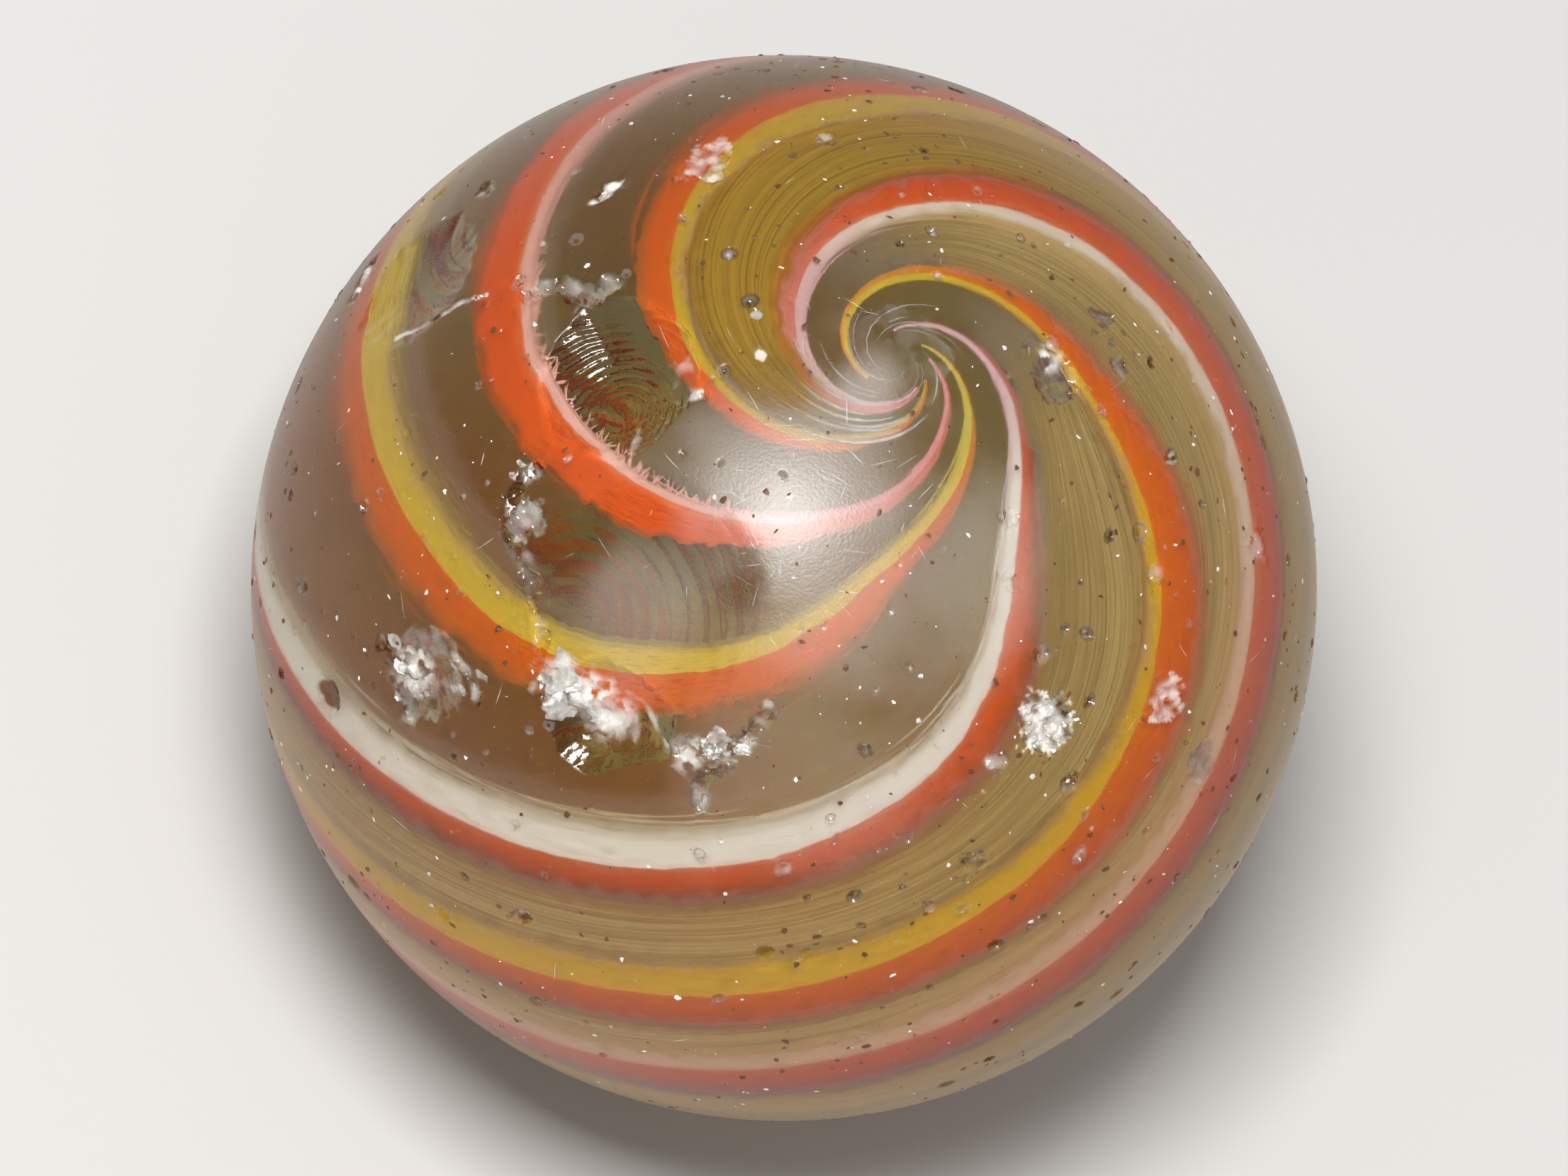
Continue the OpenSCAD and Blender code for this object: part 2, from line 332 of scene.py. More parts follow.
def distance(n, angle, azimuth):
    """Straight distance on the ball from unit directions n to a place on it."""
    return BALL * np.linalg.norm(n - direction(angle, azimuth), axis=1)


def grain(points, cell, seed):
    """Smooth noise from -1 to 1 at points, in lumps about one cell wide."""
    p = points / cell + 31.7 * seed
    base = np.floor(p).astype(np.int64)
    f = p - base
    f = f * f * (3 - 2 * f)
    total = np.zeros(len(p))
    for i in range(8):
        corner = np.array([i & 1, (i >> 1) & 1, i >> 2])
        c = base + corner
        h = (c[:, 0] * 73856093) ^ (c[:, 1] * 19349663) ^ (c[:, 2] * 83492791) ^ (seed * 668265263)
        h = (h ^ (h >> 13)) * 1274126177
        h = (h ^ (h >> 16)) & 0xFFFF
        total += np.prod(np.where(corner == 1, f, 1 - f), axis=1) * (h / 32767.5 - 1)
    return total


def facets(points, cell, seed):
    """Broken flat facets at points, about one cell wide: each a tilted plane, from about -1 to 1."""
    rng = np.random.default_rng(seed)
    low = points.min(0) - cell
    size = np.ptp(points, axis=0) + 2 * cell
    count = max(4, int(3 * np.prod(size) / cell**3))
    middles = low + rng.random((min(count, 4000), 3)) * size
    some = points[:: max(1, len(points) // 300)]
    near = np.min(np.linalg.norm(middles[:, None] - some[None], axis=2), axis=1)
    middles = middles[near < 1.5 * cell]
    level = rng.uniform(-0.6, 0.6, len(middles))
    tilt = rng.normal(0, 0.9 / cell, (len(middles), 3))
    nearest = np.concatenate([
        np.argmin(np.linalg.norm(part[:, None] - middles[None], axis=2), axis=1)
        for part in np.array_split(points, 1 + len(points) // 2000)
    ])
    return level[nearest] + np.sum(tilt[nearest] * (points - middles[nearest]), axis=1)


def smooth(low, high, x):
    """Eased step from 0 at low to 1 at high."""
    t = np.clip((x - low) / (high - low), 0, 1)
    return t * t * (3 - 2 * t)


def seam_azimuth(ribbon, angle):
    """Azimuth of a ribbon's seam at angles from the upper end."""
    path = RIBBON_PATHS[ribbon]
    way = np.array(list(path) + [path[3] + turn for turn in LOWER_TURN], float)
    stations = np.log(np.tan(np.radians(STATION_ANGLES) / 2))
    s = np.log(np.tan(np.radians(angle) / 2))
    rates = np.diff(way) / np.diff(stations)
    slopes = np.concatenate([rates[:1], (rates[:-1] + rates[1:]) / 2, rates[-1:]])
    i = np.clip(np.searchsorted(stations, s, side="right") - 1, 0, len(stations) - 2)
    run = stations[i + 1] - stations[i]
    t = (s - stations[i]) / run
    between = way[i] + slopes[i] * run * t * (1 - t) ** 2
    between += (way[i + 1] - way[i]) * t * t * (3 - 2 * t) + slopes[i + 1] * run * t * t * (t - 1)
    above = way[0] + slopes[0] * (s - stations[0])
    below = way[-1] + slopes[-1] * (s - stations[-1])
    return np.where(s < stations[0], above, np.where(s > stations[-1], below, between))


def seam_stray(ribbon, angle):
    """How far a ribbon's seam strays from its even path."""
    return np.interp(angle, WIDTH_ANGLES, SEAM_STRAY[ribbon])


def strand_width(ribbon, dark, angle):
    """Width of a ribbon's pale or dark strand."""
    return np.interp(angle, WIDTH_ANGLES, RIBBON_WIDTHS[ribbon][1 if dark else 0])


def ribbon_angle(u):
    """Angle from the upper end at a share u of the way along a ribbon."""
    eased = (1 - np.cos(np.pi * u)) / 2
    return RIBBON_STOP + (180 - 2 * RIBBON_STOP) * (u + eased) / 2


def ribbon_points(ribbon, u, across, dip):
    """Points at a share u along a ribbon, a distance across from its seam, and dipped below the skin."""
    angle = ribbon_angle(u)
    out = direction(angle, seam_azimuth(ribbon, angle))
    ahead = direction(angle + 0.2, seam_azimuth(ribbon, angle + 0.2))
    behind = direction(angle - 0.2, seam_azimuth(ribbon, angle - 0.2))
    beside = unit(np.cross(out, unit(ahead - behind)))
    narrow = np.sin(np.radians(angle)) ** THINNING
    turn = ((across + seam_stray(ribbon, angle)) / BALL)[:, None]
    radius = (BALL - SKIN - dip * narrow)[:, None]
    return radius * (out * np.cos(turn) + beside * np.sin(turn))


def chip_floor(n, chip, seed):
    """Radius of a chip's floor along unit directions n, with a ragged rim."""
    side, up = sideways(direction(chip.angle, chip.azimuth))
    x, y = BALL * (n @ side), BALL * (n @ up)
    around = np.arctan2(y, x)
    ring = np.stack([np.cos(around), np.sin(around), 0 * around], -1)
    swell = 1 + chip.ragged * grain(ring, 0.5, seed) + 0.4 * chip.ragged * grain(ring, 0.16, seed + 1)
    reach = np.hypot(x, y) / swell
    bulge = BALL - math.sqrt(BALL**2 - chip.radius**2)
    sunk = chip.depth - bulge
    cutter = (chip.radius**2 + sunk**2) / (2 * sunk)
    centre = BALL - chip.depth + cutter
    along = np.sqrt(np.clip(1 - (reach / BALL) ** 2, 0, 1)) * centre
    inside = along**2 - centre**2 + cutter**2
    return np.where(inside > 0, along - np.sqrt(np.clip(inside, 0, None)), np.inf)


def broken_radius(n):
    """Radius of the chipped ball along unit directions n, with how frosted and how fresh it is there."""
    radius = np.full(len(n), BALL)
    frost = np.zeros(len(n))
    fresh = np.ones(len(n))
    for seed, (name, chip) in enumerate(CHIPS.items(), 1):
        reach = chip.radius * (1 + 1.5 * chip.ragged) / BALL
        near = np.flatnonzero(n @ direction(chip.angle, chip.azimuth) > math.cos(reach))
        if not len(near):
            continue
        p = BALL * n[near]
        floor = chip_floor(n[near], chip, seed)
        if name in RIPPLES:
            angle, azimuth, wave, height = RIPPLES[name]
            away = distance(n[near], angle, azimuth)
            turns = 2 * np.pi * (away + 0.05 * grain(p, 0.5, seed)) / wave
            shape = np.sin(turns) + 0.35 * np.sin(2 * turns + 0.6)
            floor += height * shape * smooth(0.15, 0.5, away) * (0.65 + 0.5 * grain(p, 0.45, seed + 3))
        floor += chip.crumble * (grain(p, 0.10, seed + 5) + 0.6 * grain(p, 0.045, seed + 6))
        if name == "scoop":
            gap = np.clip((BALL + 0.1 - floor) / 0.1, 0, 2)
            eased = np.where(gap < 2, BALL - 0.025 * gap * gap, floor)
            floor = np.where(np.isfinite(floor), eased, floor)
        lower = floor < radius[near]
        radius[near] = np.where(lower, floor, radius[near])
        frost_and_glint = chip.frost * np.clip(0.55 + 0.9 * grain(p, 0.13, seed + 8), 0, 1)
        frost[near] = np.where(lower, np.maximum(frost[near], frost_and_glint), frost[near])
        fresh[near] = np.where(lower, chip.fresh, fresh[near])
    return radius, frost, fresh


def beneath_skin(points, gap):
    """Points brought down to a gap below the chipped skin where they stand above that."""
    reach = np.linalg.norm(points, axis=1)
    floor = broken_radius(points / reach[:, None])[0]
    return points * (np.minimum(reach, floor - gap) / reach)[:, None]


def beside_seam(n, ribbon):
    """Where unit directions n lie beside a ribbon's seam.

    Gives the angle at the seam's nearest point, the distance across it, and whether that point is abreast.
    """
    angle = ribbon_angle(np.linspace(0, 1, 700))
    out = direction(angle, seam_azimuth(ribbon, angle))
    beside = unit(np.cross(out, unit(np.gradient(out, axis=0))))
    parts = np.array_split(n, 1 + len(n) // 20000)
    nearest = np.concatenate([np.argmax(part @ out.T, axis=1) for part in parts])
    across = BALL * np.arcsin(np.clip(np.sum(n * beside[nearest], axis=1), -1, 1))
    away = BALL * np.arccos(np.clip(np.sum(n * out[nearest], axis=1), -1, 1))
    return angle[nearest], across - seam_stray(ribbon, angle[nearest]), away < np.abs(across) + 0.1


def painted_glow_veil(n):
    """How gold and how tan the clear glass is along unit directions n, in the gap beside each pale strand:
    milky skin whose colour paints the glow of light that the strand scatters there.
    """
    gold, tan = np.zeros(len(n)), np.zeros(len(n))
    sides = {ribbon: beside_seam(n, ribbon) for ribbon in PAINTED_GLOW_VEILS}
    for ribbon, (gold_share, tan_share, start, reach, first, last) in PAINTED_GLOW_VEILS.items():
        angle, across, abreast = sides[ribbon]
        pale = strand_width(ribbon, False, angle)
        beyond = -across - pale
        far = reach * (1 + 0.2 * grain(BALL * n, 1.1, 70 + ribbon))
        amount = 1 - np.clip(beyond / far, 0, 1) ** 2
        amount = amount * smooth(start * pale, start * pale + 0.3, beyond) * abreast
        amount *= smooth(first - 8, first + 8, angle) * smooth(last + 15, last - 15, angle)
        other = ribbon % len(PAINTED_GLOW_VEILS) + 1
        angle, across, abreast = sides[other]
        dark = strand_width(other, True, angle)
        amount *= np.where(abreast, smooth(GLOW_VEIL_OVERLAP[0] * dark, GLOW_VEIL_OVERLAP[1] * dark, across), 1)
        gold = np.maximum(gold, gold_share * amount)
        tan = np.maximum(tan, tan_share * amount)
    return gold, tan


def swirl(n):
    """Two numbers that stay the same along the twist, so that a texture read from them streaks with it."""
    angle = np.clip(np.degrees(np.arccos(np.clip(n[:, 2], -1, 1))), RIBBON_STOP, 180 - RIBBON_STOP)
    azimuth = np.degrees(np.arctan2(n[:, 1], n[:, 0]))
    seams = np.stack([seam_azimuth(ribbon, angle) for ribbon in RIBBON_PATHS], -1)
    turns = (seams[:, :1] - azimuth[:, None]) % 360
    steps = np.concatenate([(seams[:, :1] - seams) % 360, np.full((len(n), 1), 360.0)], axis=1)
    k = np.clip(np.sum(turns >= steps, axis=1) - 1, 0, len(RIBBON_PATHS) - 1)
    rows = np.arange(len(n))
    share = (turns[:, 0] - steps[rows, k]) / (steps[rows, k + 1] - steps[rows, k])
    phase = 2 * np.pi * (k + share) / len(RIBBON_PATHS)
    return np.cos(phase), np.sin(phase)


def pit_list(count, largest):
    """Small pits all over the ball: direction, radius, depth, stretch, turn, tilt, white frost and dirt. The
    white frost in some pits is partly crumbs and partly painted glints of light.
    """
    rng = np.random.default_rng(PIT_SEED)
    chips = [(direction(c.angle, c.azimuth), c.radius) for c in CHIPS.values() if c.radius > 0.5]
    pits = []
    while len(pits) < count:
        axis = unit(rng.normal(size=3))
        size = SMALLEST_PIT + (largest - SMALLEST_PIT) * rng.random() ** 3
        crowded = grain(BALL * axis[None], 2.5, 40)[0] > rng.uniform(-1.1, 0.7)
        kept = crowded and rng.uniform(-1.6, 0.4) < axis[2] < 0.985
        clear = all(axis @ c < math.cos((w + size) / BALL) for c, w in chips)
        if kept and clear:
            depth, stretch = rng.uniform(0.45, 0.8) * size, rng.uniform(1, 1.7)
            turn, tilt = rng.uniform(0, math.tau), rng.uniform(-0.8, 0.8)
            frost_and_glint, soil = rng.choice((0.0, 0.0, 0.15, 0.35)), rng.choice((0.0, 0.3, 0.5))
            pits.append((axis, size, depth, stretch, turn, tilt, frost_and_glint, soil))
    return pits


def crack_points(bends):
    """Directions close together along a crack's bends."""
    corners = [direction(*bend) for bend in bends]
    points = [corners[0]]
    for start, end in zip(corners, corners[1:]):
        steps = max(2, int(BALL * np.linalg.norm(end - start) / 0.06))
        points += [unit(start + (end - start) * k / steps) for k in range(1, steps + 1)]
    return np.array(points)


@contextmanager
def edit_mode():
    """Edit mode on the active object, for the operators within."""
    bpy.ops.object.mode_set(mode="EDIT")
    yield
    bpy.ops.object.mode_set(mode="OBJECT")


def select_only(piece):
    """Makes one object the active and only selected one."""
    bpy.ops.object.select_all(action="DESELECT")
    piece.select_set(True)
    bpy.context.view_layer.objects.active = piece


def select_parts(piece, kind, wanted):
    """Selects just the wanted vertices or polygons, for the next edit-mode operator."""
    bpy.context.tool_settings.mesh_select_mode = (kind == "vertices", False, kind == "polygons")
    for name in ("vertices", "edges", "polygons"):
        parts = getattr(piece.data, name)
        parts.foreach_set("select", wanted if name == kind else np.zeros(len(parts), bool))


def join(pieces, name):
    """Joins pieces into one and names it."""
    select_only(pieces[0])
    for piece in pieces:
        piece.select_set(True)
    bpy.ops.object.join()
    bpy.context.object.name = name
    return bpy.context.object


def read_points(piece):
    """Vertex places of a mesh, in metres."""
    co = np.empty(3 * len(piece.data.vertices), np.float32)
    piece.data.vertices.foreach_get("co", co)
    return co.reshape(-1, 3).astype(float)


def write_points(piece, points):
    """Moves the vertices of a mesh, to places in metres."""
    piece.data.vertices.foreach_set("co", np.asarray(points, np.float32).ravel())
    piece.data.update()


def face_directions(piece):
    """Unit directions of a mesh's faces, seen from the centre."""
    mid = np.empty(3 * len(piece.data.polygons), np.float32)
    piece.data.polygons.foreach_get("center", mid)
    return unit(mid.reshape(-1, 3).astype(float))


def store(piece, name, values):
    """Keeps one number for each vertex, for the material to read."""
    layer = piece.data.attributes.new(name, "FLOAT", "POINT")
    layer.data.foreach_set("value", np.asarray(values, np.float32))


def copy_of(piece, points):
    """Copy of a small piece with its own mesh, moved to these points."""
    copy = piece.copy()
    copy.data = piece.data.copy()
    bpy.context.scene.collection.objects.link(copy)
    write_points(copy, MM * points)
    return copy


def many(piece, count):
    """Repeats a small mesh within itself, for its copies to be laid out one by one."""
    copies = piece.modifiers.new("copies", "ARRAY")
    copies.count = count
    copies.use_relative_offset = False
    select_only(piece)
    bpy.ops.object.modifier_apply(modifier=copies.name)


def drawn_out(vertices, fill, step, times):
    """A ring or disc of radius one, drawn out by extruding it step by step."""
    bpy.ops.object.select_all(action="DESELECT")
    bpy.ops.mesh.primitive_circle_add(vertices=vertices, radius=1, fill_type=fill, calc_uvs=True)
    bpy.context.tool_settings.mesh_select_mode = (True, False, False)
    with edit_mode():
        bpy.ops.mesh.select_all(action="SELECT")
        for _ in range(times):
            bpy.ops.mesh.extrude_region_move(TRANSFORM_OT_translate={"value": (0, 0, step)})
        bpy.ops.mesh.select_all(action="SELECT")
        bpy.ops.mesh.normals_make_consistent(inside=False)
    return bpy.context.object


def refine(piece, spots):
    """Subdivides a ball round the spots, each with its direction, reach and longest wanted edge."""
    edge = PLAIN_EDGE
    while edge > LAST_EDGE:
        n = face_directions(piece)
        wanted = np.zeros(len(n), bool)
        for axis, reach, finest in spots:
            if finest < 0.75 * edge:
                wanted |= n @ axis > math.cos((reach + 0.5 * edge) / BALL)
        if wanted.any():
            select_parts(piece, "polygons", wanted)
            with edit_mode():
                bpy.ops.mesh.subdivide(number_cuts=1)
            write_points(piece, BALL * MM * unit(read_points(piece)))
        edge /= 2


def shader(name):
    """A new node material, with its tree, Principled shader and output."""
    material = bpy.data.materials.new(name)
    material.use_nodes = True
    tree = material.node_tree
    return material, tree, tree.nodes["Principled BSDF"], tree.nodes["Material Output"]


def feed(tree, node, inputs):
    """Gives a node's inputs their plain values, or links the sockets that feed them."""
    for key, value in inputs.items():
        if isinstance(value, bpy.types.NodeSocket):
            tree.links.new(value, node.inputs[key])
        else:
            node.inputs[key].default_value = value


def add_node(tree, kind, inputs, **settings):
    """A shader node of a kind, with its settings and inputs."""
    node = tree.nodes.new("ShaderNode" + kind)
    for name, value in settings.items():
        setattr(node, name, value)
    feed(tree, node, inputs)
    return node


def calc(tree, operation, *values, clamp=False):
    """Result of a Math node on sockets and numbers."""
    return add_node(tree, "Math", dict(enumerate(values)), operation=operation, use_clamp=clamp).outputs[0]


def noise(tree, place, scale, detail=2.0, roughness=0.5):
    """Noise from 0 to 1 at a place."""
    inputs = {"Vector": place, "Scale": scale, "Detail": detail, "Roughness": roughness}
    return add_node(tree, "TexNoise", inputs).outputs["Fac"]


def stretched_noise(tree, place, scale, detail):
    """Noise drawn out into streaks."""
    stretch = add_node(tree, "Mapping", {"Vector": place, "Scale": scale})
    return noise(tree, stretch.outputs["Vector"], 1.0, detail, 0.65)


def map_range(tree, value, low, high, to_low, to_high, easing="LINEAR"):
    """A value carried over from one range to another."""
    inputs = {"Value": value, "From Min": low, "From Max": high, "To Min": to_low, "To Max": to_high}
    return add_node(tree, "MapRange", inputs, interpolation_type=easing).outputs["Result"]


def mix(tree, factor, below, above, blend="MIX"):
    """One colour laid over another."""
    inputs = {0: factor, 6: below, 7: above}
    return add_node(tree, "Mix", inputs, data_type="RGBA", blend_type=blend).outputs[2]


def ramp(tree, factor, stops):
    """Colour from a ramp through (place, colour) stops."""
    node = add_node(tree, "ValToRGB", {"Fac": factor})
    elements = node.color_ramp.elements
    while len(elements) < len(stops):
        elements.new(0.5)
    for element, (place, colour) in zip(elements, stops):
        element.position = place
        element.color = (*colour[:3], 1)
    return node.outputs["Color"]


def mottled(name, colour, scale, dark, finish, low=0.35, high=0.6, detail=2.0):
    """Material of one colour, which a fine noise darkens here and there to a share of itself."""
    material, tree, principled, _ = shader(name)
    place = add_node(tree, "TexCoord", {}).outputs["Object"]
    stops = ((low, [dark * c for c in colour]), (high, colour))
    feed(tree, principled, {"Base Color": ramp(tree, noise(tree, place, scale, detail), stops), **finish})
    return material


def worn_glass(look):
    """Clear glass with a worn skin, fresh breaks, a frost of crushed glass, dirt, and soft milky veils whose
    gold and tan colour paints the glow of light that the strands scatter into the gaps.
    """
    material, tree, principled, output = shader("worn_clear_glass")
    place = add_node(tree, "TexCoord", {}).outputs["Object"]
    bare, frost, dirt, swirl_x, swirl_y, gold, tan = (
        add_node(tree, "Attribute", {}, attribute_name=name).outputs["Fac"]
        for name in ("bare", "frost", "dirt", "swirl_x", "swirl_y", "gold", "tan")
    )
    height = add_node(tree, "SeparateXYZ", {"Vector": place}).outputs["Z"]
    twist = add_node(tree, "CombineXYZ", {"X": swirl_x, "Y": swirl_y, "Z": height}).outputs["Vector"]
    streaky = map_range(tree, stretched_noise(tree, twist, GLOW_VEIL_STREAKS, 2), 0.3, 0.7, 0.45, 1.25)
    gold = calc(tree, "MULTIPLY", gold, streaky, clamp=True)
    tan = calc(tree, "MULTIPLY", tan, streaky, clamp=True)
    thin_gold = calc(tree, "MULTIPLY", gold, look.gold_glow_veil)
    glow_veiled = calc(tree, "ADD", thin_gold, calc(tree, "MULTIPLY", tan, look.tan_glow_veil))
    # The frost carries the white of the small pits too, which paints glints of light as well as crumbs
    milky = calc(tree, "ADD", calc(tree, "MULTIPLY", dirt, 0.6), frost)
    cloudy = calc(tree, "ADD", milky, glow_veiled, clamp=True)

    colour = (*look.tint, 1)
    # The gold and tan mixed in here paint the glow of light from the strands; the grime is dirt
    for share, strength, coat in ((gold, 3.0, look.gold), (tan, 3.0, look.tan), (dirt, 1.6, look.grime)):
        colour = mix(tree, calc(tree, "MULTIPLY", share, strength, clamp=True), colour, (*coat, 1))
    scuffs = noise(tree, place, 21000, 1)
    bump = add_node(tree, "Bump", {"Height": scuffs, "Strength": 0.15, "Distance": 0.00002})
    feed(tree, principled, {
        "Base Color": colour,
        "IOR": 1.46,
        "Roughness": map_range(tree, bare, 0, 1, look.worn_roughness, look.fresh_roughness),
        "Transmission Weight": map_range(tree, cloudy, 0, 1, 1.0, 0.1),
        "Normal": bump.outputs["Normal"],
    })
    smoke = add_node(tree, "VolumeAbsorption", {"Color": (*look.smoke, 1), "Density": look.smoke_density})
    feed(tree, output, {"Volume": smoke.outputs["Volume"]})
    return material


def strand_glass(name, tint, edge_share, end_start, waist, shades):
    """Opaque coloured glass, drawn out in streaks, that changes colour across the strand and near its ends.

    The shades are those of its outer edge, its body, the glass beside the seam and its ends.
    """
    material, tree, principled, _ = shader(name)
    place = add_node(tree, "UVMap", {}, uv_map="UVMap").outputs["UV"]
    along, across, _ = add_node(tree, "SeparateXYZ", {"Vector": place}).outputs
    drift, shading, fuzz = (stretched_noise(tree, place, scale, 3) for scale in STRAND_STREAKS)
    across = calc(tree, "MULTIPLY_ADD", calc(tree, "SUBTRACT", drift, 0.5), 0.5, across)
    across = calc(tree, "MULTIPLY_ADD", calc(tree, "SUBTRACT", fuzz, 0.5), 0.35, across)
    edge, body, seam, end = ([min(1, c * t) for c, t in zip(shade, tint)] for shade in shades)
    colour = ramp(tree, across, ((0.3 * edge_share, edge), (edge_share, body), (0.82, body), (1.0, seam)))

    from_middle = calc(tree, "ABSOLUTE", calc(tree, "SUBTRACT", along, 0.5))
    near_waist = map_range(tree, from_middle, 0.28, 0.12, 0, 1, "SMOOTHSTEP")
    near_end = map_range(tree, from_middle, end_start, end_start + 0.07, 0, 0.9, "SMOOTHSTEP")
    colour = mix(tree, near_waist, colour, (*waist, 1), "MULTIPLY")
    colour = mix(tree, near_end, colour, (*end, 1))
    shadow = ramp(tree, shading, ((0.30, (0.58, 0.54, 0.50)), (0.50, (1, 1, 1))))
    colour = mix(tree, 1.0, colour, shadow, "MULTIPLY")
    feed(tree, principled, {"Base Color": colour, "Roughness": 0.6, "Specular IOR Level": 0.0})
    return material


def crush(n, radius, frost, cracks):
    """Carves the cracks into the skin as crushed glass and frosts them."""
    for seed, (line, size, depth, rime_share) in enumerate(cracks, 60):
        middle = unit(line.mean(0))
        spread = np.linalg.norm(line - middle, axis=1).max() * BALL + 1.8 * size
        near = np.flatnonzero(n @ middle > math.cos(spread / BALL))
        p = BALL * n[near]
        away = np.min(np.linalg.norm(p[:, None] - BALL * line[None], axis=2), axis=1)
        away = away / size * (1 + 0.45 * grain(p, 0.16, seed) + 0.2 * grain(p, 0.07, seed + 4))
        hollow = depth * np.clip(1 - away**2, 0, None)
        broken = 0.7 + 0.9 * facets(p, 0.22, seed + 1) + 0.12 * grain(p, 0.06, seed + 2)
        hollow *= np.clip(broken, 0.04, 1.8)
        radius[near] = np.minimum(radius[near], 0.35 * radius[near] + 0.65 * BALL - hollow)
        frost_and_glint = rime_share * smooth(1.05, 0.45, away) * np.clip(0.4 + 1.3 * grain(p, 0.2, seed + 3), 0, 1)
        frost[near] = np.maximum(frost[near], frost_and_glint)


def chip_dirt(n):
    """How dirty the skin is along unit directions n, in the large pits."""
    dirt = np.zeros(len(n))
    for name, soil in DIRTY.items():
        chip = CHIPS[name]
        away = distance(n, chip.angle, chip.azimuth) / chip.radius
        dirt = np.maximum(dirt, soil * smooth(1.15, 0.75, away + 0.3 * grain(BALL * n, 0.15, 95)))
    return dirt


def pit(n, radius, frost, dirt, pits):
    """Carves the small pits into the skin, with white crumbs in some, whose white partly paints glints of
    light, and a ring of dirt in others.
    """
    for axis, size, depth, stretch, turn, tilt, frost_and_glint, soil in pits:
        near = np.flatnonzero(n @ axis > math.cos(1.2 * size / BALL))
        side, up = sideways(axis)
        x, y = BALL * (n[near] @ side), BALL * (n[near] @ up)
        a = (x * math.cos(turn) + y * math.sin(turn)) / size
        b = (y * math.cos(turn) - x * math.sin(turn)) / size * stretch
        wide = a * a + b * b
        hollow = depth * np.clip(1 - wide, 0, None) ** 0.8 * (1 + tilt * a)
        radius[near] = np.minimum(radius[near], BALL - hollow)
        crumbs_and_glints = np.clip(0.3 + 1.3 * grain(BALL * n[near], 0.05, 93), 0, 1)
        # White in a pit: crumbs, and painted glints of light on its floor
        frost[near] = np.maximum(frost[near], frost_and_glint * crumbs_and_glints * smooth(1.0, 0.3, wide))
        dirt[near] = np.maximum(dirt[near], soil * smooth(0.2, 0.7, wide) * smooth(1.35, 0.9, wide))


def clouded(n, frost):
    """The frost with the milky patches laid over it."""
    for angle, azimuth, reach, amount in CLOUDS:
        away = distance(n, angle, azimuth) / reach
        milk = amount * smooth(1.0, 0.2, away + 0.25 * grain(BALL * n, 0.6, 91))
        if reach < SHARD_PATCH:
            near = np.flatnonzero(away < 1.5)
            milk[near] *= np.clip(0.45 + 0.9 * facets(BALL * n[near], 0.2, 97), 0, 1)
        frost = np.maximum(frost, milk)
    return frost


def make_clear_ball(look, sizes):
    """Icosphere refined round its chips, crushed spots and pits, with the damage carved in."""
    bpy.ops.object.select_all(action="DESELECT")
    bpy.ops.mesh.primitive_ico_sphere_add(subdivisions=6, radius=BALL * MM)
    ball = bpy.context.object
    ball.name = "chipped_ball"
    pits = pit_list(sizes.pits, sizes.largest_pit / MM)
    cracks = [(crack_points(bends), size, depth, frost_and_glint) for size, depth, frost_and_glint, *bends in CRACKS]
    spots = [
        (direction(c.angle, c.azimuth), c.radius * (1 + c.ragged), CHIP_EDGES.get(name, DAMAGE_EDGE))
        for name, c in CHIPS.items()
    ]
    spots += [(axis, 1.3 * crack[1], DAMAGE_EDGE) for crack in cracks for axis in crack[0][::2]]
    spots += [(axis, 1.1 * size, DAMAGE_EDGE) for axis, size, *_ in pits]
    refine(ball, spots)

    n = unit(read_points(ball))
    radius, frost, fresh = broken_radius(n)
    dirt = chip_dirt(n)
    crush(n, radius, frost, cracks)
    pit(n, radius, frost, dirt, pits)
    frost = clouded(n, frost)
    bare = fresh * smooth(0.004, 0.03, BALL - radius)
    kept = smooth(0.4, 0.05, frost) * (1 - bare)
    gold, tan = (kept * layer for layer in painted_glow_veil(n))
    swirl_x, swirl_y = swirl(n)
    write_points(ball, MM * radius[:, None] * n)
    store(ball, "bare", bare)
    store(ball, "frost", frost)
    store(ball, "dirt", dirt)
    store(ball, "swirl_x", swirl_x)
    store(ball, "swirl_y", swirl_y)
    store(ball, "gold", gold)
    store(ball, "tan", tan)

    with edit_mode():
        bpy.ops.mesh.select_all(action="SELECT")
        bpy.ops.mesh.quads_convert_to_tris()
    select_only(ball)
    bpy.ops.object.shade_smooth_by_angle(angle=BALL_SMOOTH)
    ball.data.materials.append(worn_glass(look))
    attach(ball, "root")
    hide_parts("clear_glass")


def make_thread():
    """One slender four-sided tube; copies of it become wisps, threads and scratches."""
    return drawn_out(4, "NOTHING", 1 / (RUN - 1), RUN - 1)


def thread_points(local, run, half):
    """Points of a thread laid along a run of points, thin at both ends."""
    k = np.round((RUN - 1) * local[:, 2]).astype(int)
    along = unit(np.gradient(run, axis=0))
    out = unit(run)
    beside = np.cross(out, along)
    taper = half * np.sin(np.pi * np.linspace(0.02, 0.98, RUN)) ** 0.7
    offset = beside[k] * local[:, :1] + 0.6 * out[k] * local[:, 1:2]
    return run[k] + offset * taper[k, None]


def thread_copy(thread, run, half, uv):
    """Copy of the thread laid along a run of points, coloured as a strand is at uv."""
    copy = copy_of(thread, thread_points(read_points(thread), run, half))
    layer = copy.data.uv_layers[0].data
    layer.foreach_set("uv", np.tile(np.float32(uv), len(layer)))
    return copy


